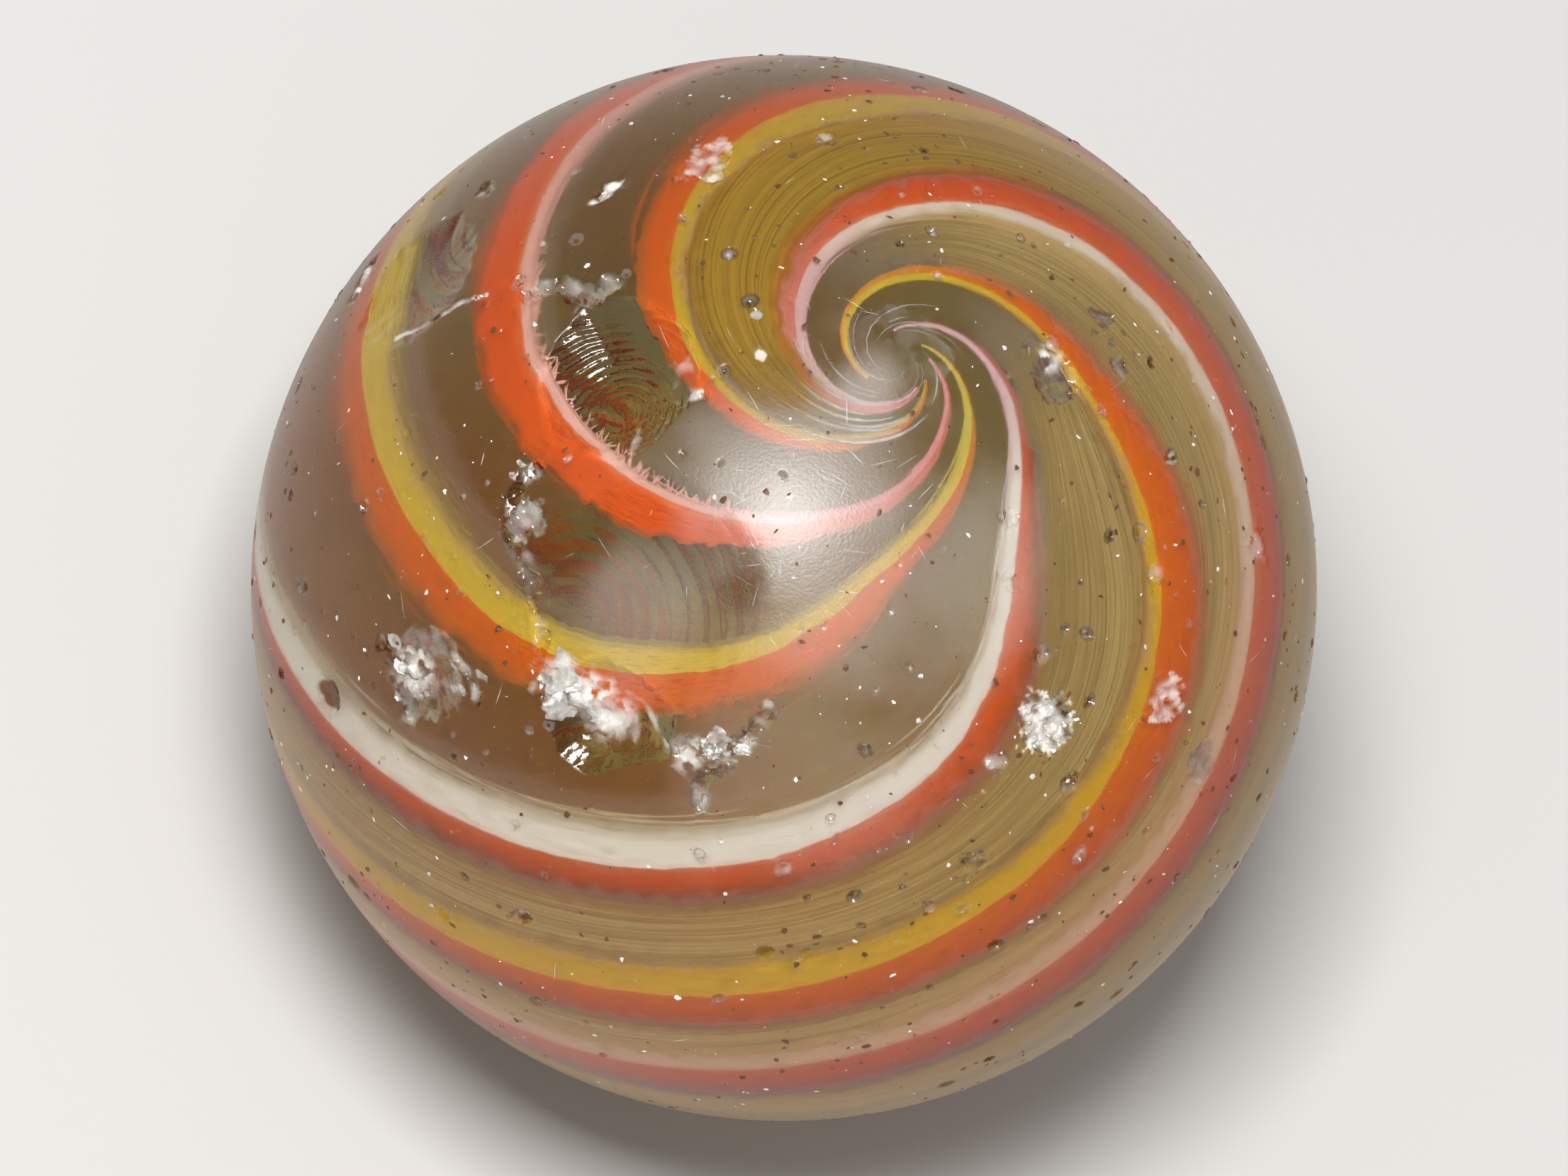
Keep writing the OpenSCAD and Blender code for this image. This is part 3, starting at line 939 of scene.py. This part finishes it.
def make_wisps(thread, ribbon, dark, count, seed):
    """Stray filaments that trail beside a strand's outer edge."""
    rng = np.random.default_rng(seed)
    wisps = []
    for _ in range(count):
        start, length = rng.uniform(0.06, 0.9), rng.uniform(0.6, 2.6) / RIBBON_LENGTH
        u = np.linspace(start, start + length, RUN)
        width = strand_width(ribbon, dark, ribbon_angle(u))
        beyond = rng.exponential(0.07) * width[0] / 0.6 - 0.03
        lean = rng.normal(0, 0.05) * np.linspace(0, 1, RUN)
        across = width + beyond + lean
        dip = (DARK_DIP if dark else PALE_DIP) * (1 + 0.3 * rng.random())
        run = ribbon_points(ribbon, u, across if dark else -across, np.full(RUN, dip))
        if (broken_radius(unit(run))[0] < BALL - 0.05).any():
            continue
        half = rng.uniform(0.004, 0.013)
        wisps.append(thread_copy(thread, run, half, (start, rng.uniform(0.2, 0.6))))
    return wisps


def make_fringe(thread, ribbon, seed):
    """Short hairs that stand out from a pale strand's edge, where a chip has frayed it."""
    rng = np.random.default_rng(seed)
    u_all = np.linspace(0, 1, 2000)
    angle_all = ribbon_angle(u_all)
    hairs = []
    for _ in range(FRAYED_HAIRS):
        angle = rng.uniform(*FRAYED_ANGLES)
        u = np.interp(angle, angle_all, u_all) + np.linspace(0, rng.uniform(-0.003, 0.006), RUN)
        across = 0.05 - strand_width(ribbon, False, angle) - np.linspace(0, rng.uniform(0.08, 0.26), RUN)
        run = beneath_skin(ribbon_points(ribbon, u, across, np.full(RUN, PALE_DIP)), HAIR_GAP)
        hairs.append(thread_copy(thread, run, rng.uniform(0.008, 0.02), (u[0], rng.uniform(0.6, 0.95))))
    return hairs


def make_strand(ribbon, name, dark, material, thread, sizes):
    """Grid laid along one side of a ribbon, cut where a chip goes through it, and given its thickness."""
    bpy.ops.object.select_all(action="DESELECT")
    along, aside = STRAND_STEPS
    bpy.ops.mesh.primitive_grid_add(x_subdivisions=along, y_subdivisions=aside, size=1, calc_uvs=True)
    strand = bpy.context.object
    flat = read_points(strand)
    u, v = flat[:, 0] + 0.5, flat[:, 1] + 0.5
    edge = 1 - v
    seed = 200 + 10 * ribbon + (5 if dark else 0)
    line = np.stack([40 * u, 0 * u, 0 * u], -1)
    ragged = 0.10 * grain(line, 1.6, seed) + 0.07 * grain(line, 0.30, seed + 1)
    ragged += 0.10 * grain(line, 0.09, seed + 2)
    width = strand_width(ribbon, dark, ribbon_angle(u)) * (1 + ragged * edge**2)
    shake = 0.03 * grain(line, 0.6, 204 + 10 * ribbon) + 0.012 * grain(line, 0.12, 203 + 10 * ribbon)
    across = shake * v * np.minimum(1, width / 0.2) + (width if dark else -width) * edge
    points = ribbon_points(ribbon, u, across, (DARK_DIP if dark else PALE_DIP) * edge)
    radius = np.linalg.norm(points, axis=1)
    floor = broken_radius(points / radius[:, None])[0]
    thickness = sizes.strand_thickness
    cut = floor < radius - 0.8 * thickness / MM + 0.05 * grain(points, 0.12, seed + 3)
    write_points(strand, MM * beneath_skin(points, STRAND_GAP))

    select_parts(strand, "vertices", cut)
    with edit_mode():
        if cut.any():
            bpy.ops.mesh.delete(type="VERT")
        bpy.ops.mesh.select_all(action="SELECT")
    face = strand.data.polygons[len(strand.data.polygons) // 2]
    if face.normal.dot(face.center) < 0:
        with edit_mode():
            bpy.ops.mesh.flip_normals()
    group = strand.vertex_groups.new(name="thickness")
    whole_width = np.interp(ribbon_angle(u[~cut]), WIDTH_ANGLES, np.sum(RIBBON_WIDTHS[ribbon], axis=0))
    share = np.round(np.clip(whole_width / 0.7, 0.12, 1), 2)
    for level in np.unique(share):
        group.add(np.flatnonzero(share == level).tolist(), float(level), "REPLACE")
    wall = strand.modifiers.new("thickness", "SOLIDIFY")
    wall.thickness = thickness
    wall.offset = -1
    wall.vertex_group = group.name
    bpy.ops.object.modifier_apply(modifier=wall.name)
    threads = make_wisps(thread, ribbon, dark, sizes.dark_wisps if dark else sizes.pale_wisps, seed)
    if ribbon == FRAYED_RIBBON and not dark:
        threads += make_fringe(thread, ribbon, seed + 4)
    strand = join([strand, *threads], "drawn_" + name)
    bpy.ops.object.shade_smooth_by_angle(angle=STRAND_SMOOTH)
    strand.data.materials.clear()
    strand.data.materials.append(material)
    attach(strand, "root")
    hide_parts(name)


def make_ribbons(scene, ribbons, pale, dark):
    """Both strands of each of the ribbons, in glass of a pale and a dark colour."""
    look, sizes = scene.marble_ribbons, scene.marble_sizes
    thread = make_thread()
    for ribbon in ribbons:
        pale_tint, dark_tint, rim, end_start, waist = RIBBON_TINTS[ribbon]
        for colour, tint, edge, middle in ((pale, pale_tint, PALE_EDGE, waist), (dark, dark_tint, rim, SAME)):
            shades = [getattr(look, colour + part) for part in ("_edge", "", "_seam", "_end")]
            slot = f"{colour}_glass"
            glass = strand_glass(f"{slot}_{ribbon}", tint, edge, end_start, middle, shades)
            make_strand(ribbon, f"{colour}_strand_{ribbon}", colour == dark, glass, thread, sizes)
    bpy.data.objects.remove(thread)


def make_splits(look):
    """Thin faceted plates under the skin where the glass is split, in a near-white that paints the silvery
    reflection of such cracks.
    """
    rng = np.random.default_rng(SPLIT_SEED)
    plate = drawn_out(7, "TRIFAN", -0.12, 1)
    base = read_points(plate)
    pieces = []
    for angle, azimuth, spread, count, size in SPLITS:
        axis = direction(angle, azimuth)
        side, up = sideways(axis)
        for _ in range(count):
            away = spread * rng.normal(0, 0.55, 2)
            middle = unit(BALL * axis + away[0] * side + away[1] * up)
            lean = unit(middle + rng.normal(0, 0.35, 3))
            one, two = sideways(lean)
            spin = rng.uniform(0, math.tau)
            wide = size * rng.uniform(0.5, 1.3)
            ragged = base[:, :2] * rng.uniform(0.5, 1.2, len(base))[:, None]
            x = wide * (ragged[:, 0] * math.cos(spin) - ragged[:, 1] * math.sin(spin))
            y = 0.6 * wide * (ragged[:, 0] * math.sin(spin) + ragged[:, 1] * math.cos(spin))
            z = wide * (base[:, 2] + 0.22 * rng.normal(size=len(base)))
            centre = (broken_radius(middle[None])[0] - rng.uniform(0.05, 0.16)) * middle
            points = centre + x[:, None] * one + y[:, None] * two + z[:, None] * lean
            pieces.append(copy_of(plate, beneath_skin(points, SPLIT_GAP)))
    splits = join(pieces, "silvery_splits")
    bpy.data.objects.remove(plate)
    finish = {"Metallic": 0.3, "Roughness": 0.3}
    # Near-white silver: painted reflection of the splits
    splits.data.materials.append(mottled("silvery_crack", look.silver, 9000, 0.55, finish, low=0.3, detail=3))
    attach(splits, "root")


def make_end_whorl(look):
    """Fine pale threads that turn in to the twisted-off end."""
    rng = np.random.default_rng(WHORL_SEED)
    thread = make_thread()
    threads = []
    for k in range(INNER_THREADS + OUTER_THREADS):
        first, last = rng.uniform(1.2, 5.0), rng.uniform(5.5, 10.0)
        turn, half, sunk = rng.uniform(0, 360), rng.uniform(0.004, 0.009), rng.uniform(0.12, 0.22)
        if k >= INNER_THREADS:
            first, last = rng.uniform(6.0, 8.5), rng.uniform(9.5, 14.5)
            turn, half = rng.uniform(215, 300), rng.uniform(0.010, 0.024)
        angle = np.linspace(first, last, RUN)
        s = np.log(np.tan(np.radians(angle) / 2)) - math.log(math.tan(WHORL_START / 2))
        run = (BALL - sunk) * direction(angle, turn - WHORL_TURN * s)
        threads.append(thread_copy(thread, run, half, (0.5, 0.5)))
    whorl = join(threads, "end_whorl")
    bpy.data.objects.remove(thread)
    finish = {"Roughness": 0.6, "Specular IOR Level": 0.0}
    whorl.data.materials.append(mottled("pale_thread", look.thread, 2500, 0.6, finish))
    bpy.ops.object.shade_smooth_by_angle(angle=STRAND_SMOOTH)
    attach(whorl, "root")


def scattered(rng, count):
    """Directions over the whole ball, thinner underneath, where the skin is whole."""
    n = unit(rng.normal(size=(8 * count, 3)))
    kept = grain(BALL * n, 1.6, 44) > rng.uniform(-1.2, 0.8, len(n))
    kept &= n[:, 2] > rng.uniform(-1.8, 0.2, len(n))
    n = n[kept]
    return n[broken_radius(n)[0] > BALL - WHOLE_SKIN][:count]


def make_flecks(name, count, largest, seed, material):
    """Tiny jagged grains set in the skin: the crumbs and dirt of the smallest pits. The white crumbs also
    paint glints of light.
    """
    rng = np.random.default_rng(seed)
    spots = scattered(rng, count)
    bpy.ops.object.select_all(action="DESELECT")
    bpy.ops.mesh.primitive_ico_sphere_add(subdivisions=1, radius=1)
    flecks = bpy.context.object
    flecks.name = name
    base = read_points(flecks)
    many(flecks, len(spots))
    points = []
    for axis in spots:
        side, up = sideways(axis)
        size = SMALLEST_FLECK + (largest - SMALLEST_FLECK) * rng.random() ** 4
        spin, slim = rng.uniform(0, math.tau), rng.uniform(0.35, 1)
        lump = size * base * rng.uniform(0.5, 1.4, (len(base), 1))
        along = math.cos(spin) * side + math.sin(spin) * up
        beside = math.cos(spin) * up - math.sin(spin) * side
        place = (BALL - 0.004) * axis
        points.append(place + lump[:, :1] * along + slim * lump[:, 1:2] * beside + 0.3 * lump[:, 2:] * axis)
    write_points(flecks, MM * np.concatenate(points))
    flecks.data.materials.append(material)
    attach(flecks, "root")


def make_scratches(count, material):
    """Fine hairline scratches in the skin, white as the crumbs, with extra ones crowded where the light
    glances off it, which paint glinting streaks into the glow.
    """
    rng = np.random.default_rng(SCRATCH_SEED)
    spots = scattered(rng, count)
    # Extra scratches where the light glances: painted glints in the glow
    glint_spots = unit(direction(*GLANCE) + rng.normal(0, 0.14, (GLINT_SCRATCHES, 3)))
    spots = np.concatenate([spots, glint_spots])
    thread = make_thread()
    thread.name = "hair_scratches"
    local = read_points(thread)
    many(thread, len(spots))
    points = []
    for axis in spots:
        side, up = sideways(axis)
        way = rng.uniform(0, math.tau)
        t = np.linspace(-0.5, 0.5, RUN) * rng.uniform(0.06, 0.5)
        bend = rng.normal(0, 0.12) * t * t
        x, y = t * math.cos(way) - bend * math.sin(way), t * math.sin(way) + bend * math.cos(way)
        run = unit(BALL * axis + x[:, None] * side + y[:, None] * up)
        run = (broken_radius(run)[0] - 0.001)[:, None] * run
        points.append(thread_points(local, run, rng.uniform(0.0015, 0.0035)))
    write_points(thread, MM * np.concatenate(points))
    thread.data.materials.append(material)
    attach(thread, "root")


def stand(name, data, side, up, back, place):
    """Puts a lamp or the camera at a place, turned to its three axes."""
    stood = bpy.data.objects.new(name, data)
    bpy.context.scene.collection.objects.link(stood)
    rows = np.column_stack([side, up, back, place]).tolist()
    stood.matrix_world = Matrix(rows + [[0, 0, 0, 1]])
    return stood


def colour_property(name, description, default):
    """A colour that a user may change."""
    return bpy.props.FloatVectorProperty(
        name=name, description=description, subtype="COLOR", size=3, default=default, min=0, max=1
    )


def share_property(name, description, default):
    """A share from 0 to 1 that a user may change."""
    return bpy.props.FloatProperty(
        name=name, description=description, subtype="FACTOR", default=default, min=0, max=1
    )


def length_property(name, description, default):
    """A length in metres that a user may change."""
    return bpy.props.FloatProperty(
        name=name, description=description, subtype="DISTANCE", unit="LENGTH",
        precision=6, default=default, min=0,
    )


def count_property(name, description, default):
    """A number of like things that a user may change."""
    return bpy.props.IntProperty(name=name, description=description, default=default, min=1)


class MarbleSizes(bpy.types.PropertyGroup):
    """Sizes of the strands and of the wear"""

    strand_thickness: length_property("Strand thickness", "Thickness of the wide strands", 0.00025)
    pale_wisps: count_property("Pale wisps", "Stray filaments beside each yellow or white strand", 260)
    dark_wisps: count_property("Dark wisps", "Stray filaments beside each orange or red strand", 120)
    pits: count_property("Pits", "Small pits over the whole ball", 560)
    largest_pit: length_property("Largest pit", "Radius of the largest of the small pits", 0.00016)
    # White flecks: crumbs of crushed glass whose white also paints small glints of light
    white_flecks: count_property("White flecks", "Crumbs of crushed glass in the skin", 1500)
    largest_white: length_property("Largest white fleck", "Radius of the largest crumb", 0.000056)
    brown_flecks: count_property("Brown flecks", "Specks of dirt in the skin", 2600)
    largest_brown: length_property("Largest brown fleck", "Radius of the largest speck", 0.000076)
    scratches: count_property("Scratches", "Hairline scratches over the whole ball", 130)


class MarbleGlass(bpy.types.PropertyGroup):
    """Finish of the clear glass"""

    tint: colour_property("Tint", "Colour of the clear glass at its skin", (0.98, 0.97, 0.93))
    smoke: colour_property("Smoke", "Colour that the depth of the glass takes on", (0.75, 0.665, 0.22))
    smoke_density: bpy.props.FloatProperty(
        name="Smoke density", description="How strongly the glass darkens with depth, per metre",
        default=125, min=0,
    )
    worn_roughness: share_property("Worn skin", "Roughness of the worn skin", 0.34)
    fresh_roughness: share_property("Fresh breaks", "Roughness inside the chips", 0.08)
    # The gold and tan veils: milky skin whose colour paints the glow of light scattered from the strands
    gold: colour_property("Gold veil", "Colour of the veils beside the yellow strands", (0.50, 0.30, 0.02))
    gold_glow_veil: share_property("Gold thickness", "How milky the gold veils are", 0.45)
    tan: colour_property("Tan veil", "Colour of the veils beside the white strands", (0.58, 0.41, 0.15))
    tan_glow_veil: share_property("Tan thickness", "How milky the tan veils are", 0.40)
    grime: colour_property("Grime", "Colour of the dirt in the pits", (0.15, 0.055, 0.02))
    thread: colour_property("End threads", "Colour of the fine threads at the end", (0.86, 0.82, 0.84))
    # Silver: painted reflection of the splits, and the white of the crumbs
    silver: colour_property("Crack silver", "Colour of the cracks inside the glass", (0.95, 0.94, 0.92))


class MarbleRibbons(bpy.types.PropertyGroup):
    """Colours of the ribbons, from the outer edge of each strand to the seam"""

    yellow_edge: colour_property("Yellow edge", "Thin edge of the yellow strands", (0.42, 0.27, 0.03))
    yellow: colour_property("Yellow", "Body of the yellow strands", (0.80, 0.53, 0.035))
    yellow_seam: colour_property("Yellow seam", "Yellow beside the seam", (0.86, 0.50, 0.03))
    yellow_end: colour_property("Yellow end", "Yellow near the twisted ends", (0.74, 0.58, 0.08))
    orange_edge: colour_property("Orange edge", "Thin edge of the orange strands", (0.55, 0.16, 0.015))
    orange: colour_property("Orange", "Body of the orange strands", (0.88, 0.165, 0.003))
    orange_seam: colour_property("Orange seam", "Orange beside the seam", (0.88, 0.20, 0.008))
    orange_end: colour_property("Orange end", "Orange near the twisted ends", (0.84, 0.34, 0.03))
    white_edge: colour_property("White edge", "Thin edge of the white strands", (0.66, 0.58, 0.48))
    white: colour_property("White", "Body of the white strands", (0.97, 0.94, 0.88))
    white_seam: colour_property("White seam", "White beside the seam", (0.94, 0.76, 0.70))
    white_end: colour_property("White end", "White near the twisted ends", (0.85, 0.52, 0.60))
    red_edge: colour_property("Red edge", "Thin edge of the red strands", (0.48, 0.11, 0.015))
    red: colour_property("Red", "Body of the red strands", (0.88, 0.125, 0.008))
    red_seam: colour_property("Red seam", "Red beside the seam", (0.92, 0.24, 0.10))
    red_end: colour_property("Red end", "Red near the twisted ends", (0.78, 0.26, 0.24))


class MarbleStage(bpy.types.PropertyGroup):
    """The plain studio round the marble"""

    floor: colour_property("Floor", "Colour of the floor", (0.60, 0.595, 0.585))
    floor_size: length_property("Floor size", "Length of the floor's sides", 1.6)
    backdrop: colour_property("Backdrop", "Colour of the surroundings", (0.90, 0.90, 0.89))
    fill: bpy.props.FloatProperty(
        name="Fill", description="Light of the surroundings", default=0.42, min=0
    )
    key: bpy.props.FloatProperty(
        name="Key", description="Power of the soft lamp by the camera", subtype="POWER", default=0.35, min=0
    )
    lens: bpy.props.FloatProperty(
        name="Lens", description="Focal length of the camera in millimetres",
        subtype="DISTANCE_CAMERA", unit="CAMERA", default=600, min=20,
    )


class MARBLE_OT_clear_ball(bpy.types.Operator):
    """Models the worn and chipped clear ball"""

    bl_idname = "marble.clear_ball"
    bl_label = "Clear ball"

    def execute(self, context):
        make_clear_ball(context.scene.marble_glass, context.scene.marble_sizes)
        return {"FINISHED"}


class MARBLE_OT_yellow_ribbons(bpy.types.Operator):
    """Models the three ribbons of yellow and orange glass"""

    bl_idname = "marble.yellow_ribbons"
    bl_label = "Yellow and orange ribbons"

    def execute(self, context):
        make_ribbons(context.scene, (1, 3, 5), "yellow", "orange")
        return {"FINISHED"}


class MARBLE_OT_white_ribbons(bpy.types.Operator):
    """Models the three ribbons of white and red glass"""

    bl_idname = "marble.white_ribbons"
    bl_label = "White and red ribbons"

    def execute(self, context):
        make_ribbons(context.scene, (2, 4, 6), "white", "red")
        return {"FINISHED"}


class MARBLE_OT_splits(bpy.types.Operator):
    """Models the silvery splits under the chips and bruises, with their reflection painted in near-white"""

    bl_idname = "marble.splits"
    bl_label = "Silvery splits"

    def execute(self, context):
        make_splits(context.scene.marble_glass)
        return {"FINISHED"}


class MARBLE_OT_wear(bpy.types.Operator):
    """Models the crumbs, the dirt and the hairline scratches of the worn skin; the white crumbs and scratches
    also paint glints of light
    """

    bl_idname = "marble.wear"
    bl_label = "Flecks and scratches"

    def execute(self, context):
        look, sizes = context.scene.marble_glass, context.scene.marble_sizes
        crumbs_and_glints = mottled("crushed_fleck", look.silver, 3000, 0.55, {"Roughness": 0.3})
        dirt = mottled("brown_fleck", look.grime, 3000, 0.55, {"Roughness": 0.5})
        make_flecks("white_flecks", sizes.white_flecks, sizes.largest_white / MM, WHITE_SEED, crumbs_and_glints)
        make_flecks("brown_flecks", sizes.brown_flecks, sizes.largest_brown / MM, BROWN_SEED, dirt)
        make_scratches(sizes.scratches, crumbs_and_glints)
        return {"FINISHED"}


class MARBLE_OT_end_whorl(bpy.types.Operator):
    """Models the fine threads at the upper end"""

    bl_idname = "marble.end_whorl"
    bl_label = "End whorl"

    def execute(self, context):
        make_end_whorl(context.scene.marble_glass)
        return {"FINISHED"}


class MARBLE_OT_stage(bpy.types.Operator):
    """Sets up the floor, the surroundings, the lamp and the camera"""

    bl_idname = "marble.stage"
    bl_label = "Studio"

    def execute(self, context):
        scene = context.scene
        look = scene.marble_stage
        scene.view_settings.view_transform = "Standard"

        bpy.ops.object.select_all(action="DESELECT")
        bpy.ops.mesh.primitive_plane_add(size=look.floor_size, location=(0, 0, CAD_BOX[0].z))
        floor = context.object
        floor.name = "studio_floor"
        bpy.ops.object.transform_apply(location=True)
        finish = {"Roughness": 0.85, "Specular IOR Level": 0.1}
        floor.data.materials.append(mottled("pale_floor", look.floor, 60, 0.985, finish, low=0.3, high=0.7))

        scene.world = bpy.data.worlds.new("pale_studio")
        scene.world.use_nodes = True
        tree = scene.world.node_tree
        feed(tree, tree.nodes["Background"], {"Color": (*look.backdrop, 1), "Strength": look.fill})

        back = np.array([0, -math.cos(CAMERA_RISE), math.sin(CAMERA_RISE)])
        level, up = np.array([1.0, 0, 0]), np.array([0, math.sin(CAMERA_RISE), math.cos(CAMERA_RISE)])
        right = math.cos(CAMERA_ROLL) * level + math.sin(CAMERA_ROLL) * up
        top = math.cos(CAMERA_ROLL) * up - math.sin(CAMERA_ROLL) * level
        half = math.atan(BALL_SHARE * SENSOR / 2 / look.lens)
        camera = bpy.data.cameras.new("camera")
        camera.lens = look.lens
        camera.sensor_width = SENSOR
        camera.clip_start = 0.001
        scene.camera = stand("camera", camera, right, top, back, BALL * MM / math.sin(half) * back)

        toward = math.cos(LAMP_TILT) * back + math.sin(LAMP_TILT) * top
        lamp = bpy.data.lights.new("key_lamp", "AREA")
        lamp.size = LAMP_SIZE
        lamp.energy = look.key
        lamp.color = LAMP_COLOUR
        stood = stand("key_lamp", lamp, *sideways(toward), toward, LAMP_DISTANCE * toward)
        stood.visible_camera = False
        return {"FINISHED"}


class MARBLE_PT_panel(bpy.types.Panel):
    """Lists the marble's pieces in the sidebar"""

    bl_idname = "MARBLE_PT_panel"
    bl_label = "Glass swirl marble"
    bl_space_type = "VIEW_3D"
    bl_region_type = "UI"
    bl_category = "Marble"

    def draw(self, context):
        layout = self.layout
        for cls in STEPS:
            layout.operator(cls.bl_idname)
        for name, group in GROUPS.items():
            box = layout.box()
            for setting in group.__annotations__:
                box.prop(getattr(context.scene, name), setting)


GROUPS = {
    "marble_sizes": MarbleSizes,
    "marble_glass": MarbleGlass,
    "marble_ribbons": MarbleRibbons,
    "marble_stage": MarbleStage,
}
STEPS = (
    MARBLE_OT_clear_ball,
    MARBLE_OT_yellow_ribbons,
    MARBLE_OT_white_ribbons,
    MARBLE_OT_splits,
    MARBLE_OT_wear,
    MARBLE_OT_end_whorl,
    MARBLE_OT_stage,
)
CLASSES = (*GROUPS.values(), *STEPS, MARBLE_PT_panel)


def register():
    """Registers the classes and hangs the settings on the scene."""
    for cls in CLASSES:
        bpy.utils.register_class(cls)
    for name, group in GROUPS.items():
        setattr(bpy.types.Scene, name, bpy.props.PointerProperty(type=group))


def unregister():
    """Takes the settings and classes away again."""
    for name in GROUPS:
        delattr(bpy.types.Scene, name)
    for cls in reversed(CLASSES):
        bpy.utils.unregister_class(cls)


def main():
    """Builds every piece in order."""
    register()
    bpy.ops.marble.clear_ball()
    bpy.ops.marble.yellow_ribbons()
    bpy.ops.marble.white_ribbons()
    bpy.ops.marble.splits()
    bpy.ops.marble.wear()
    bpy.ops.marble.end_whorl()
    bpy.ops.marble.stage()


if __name__ == "__main__":
    main()
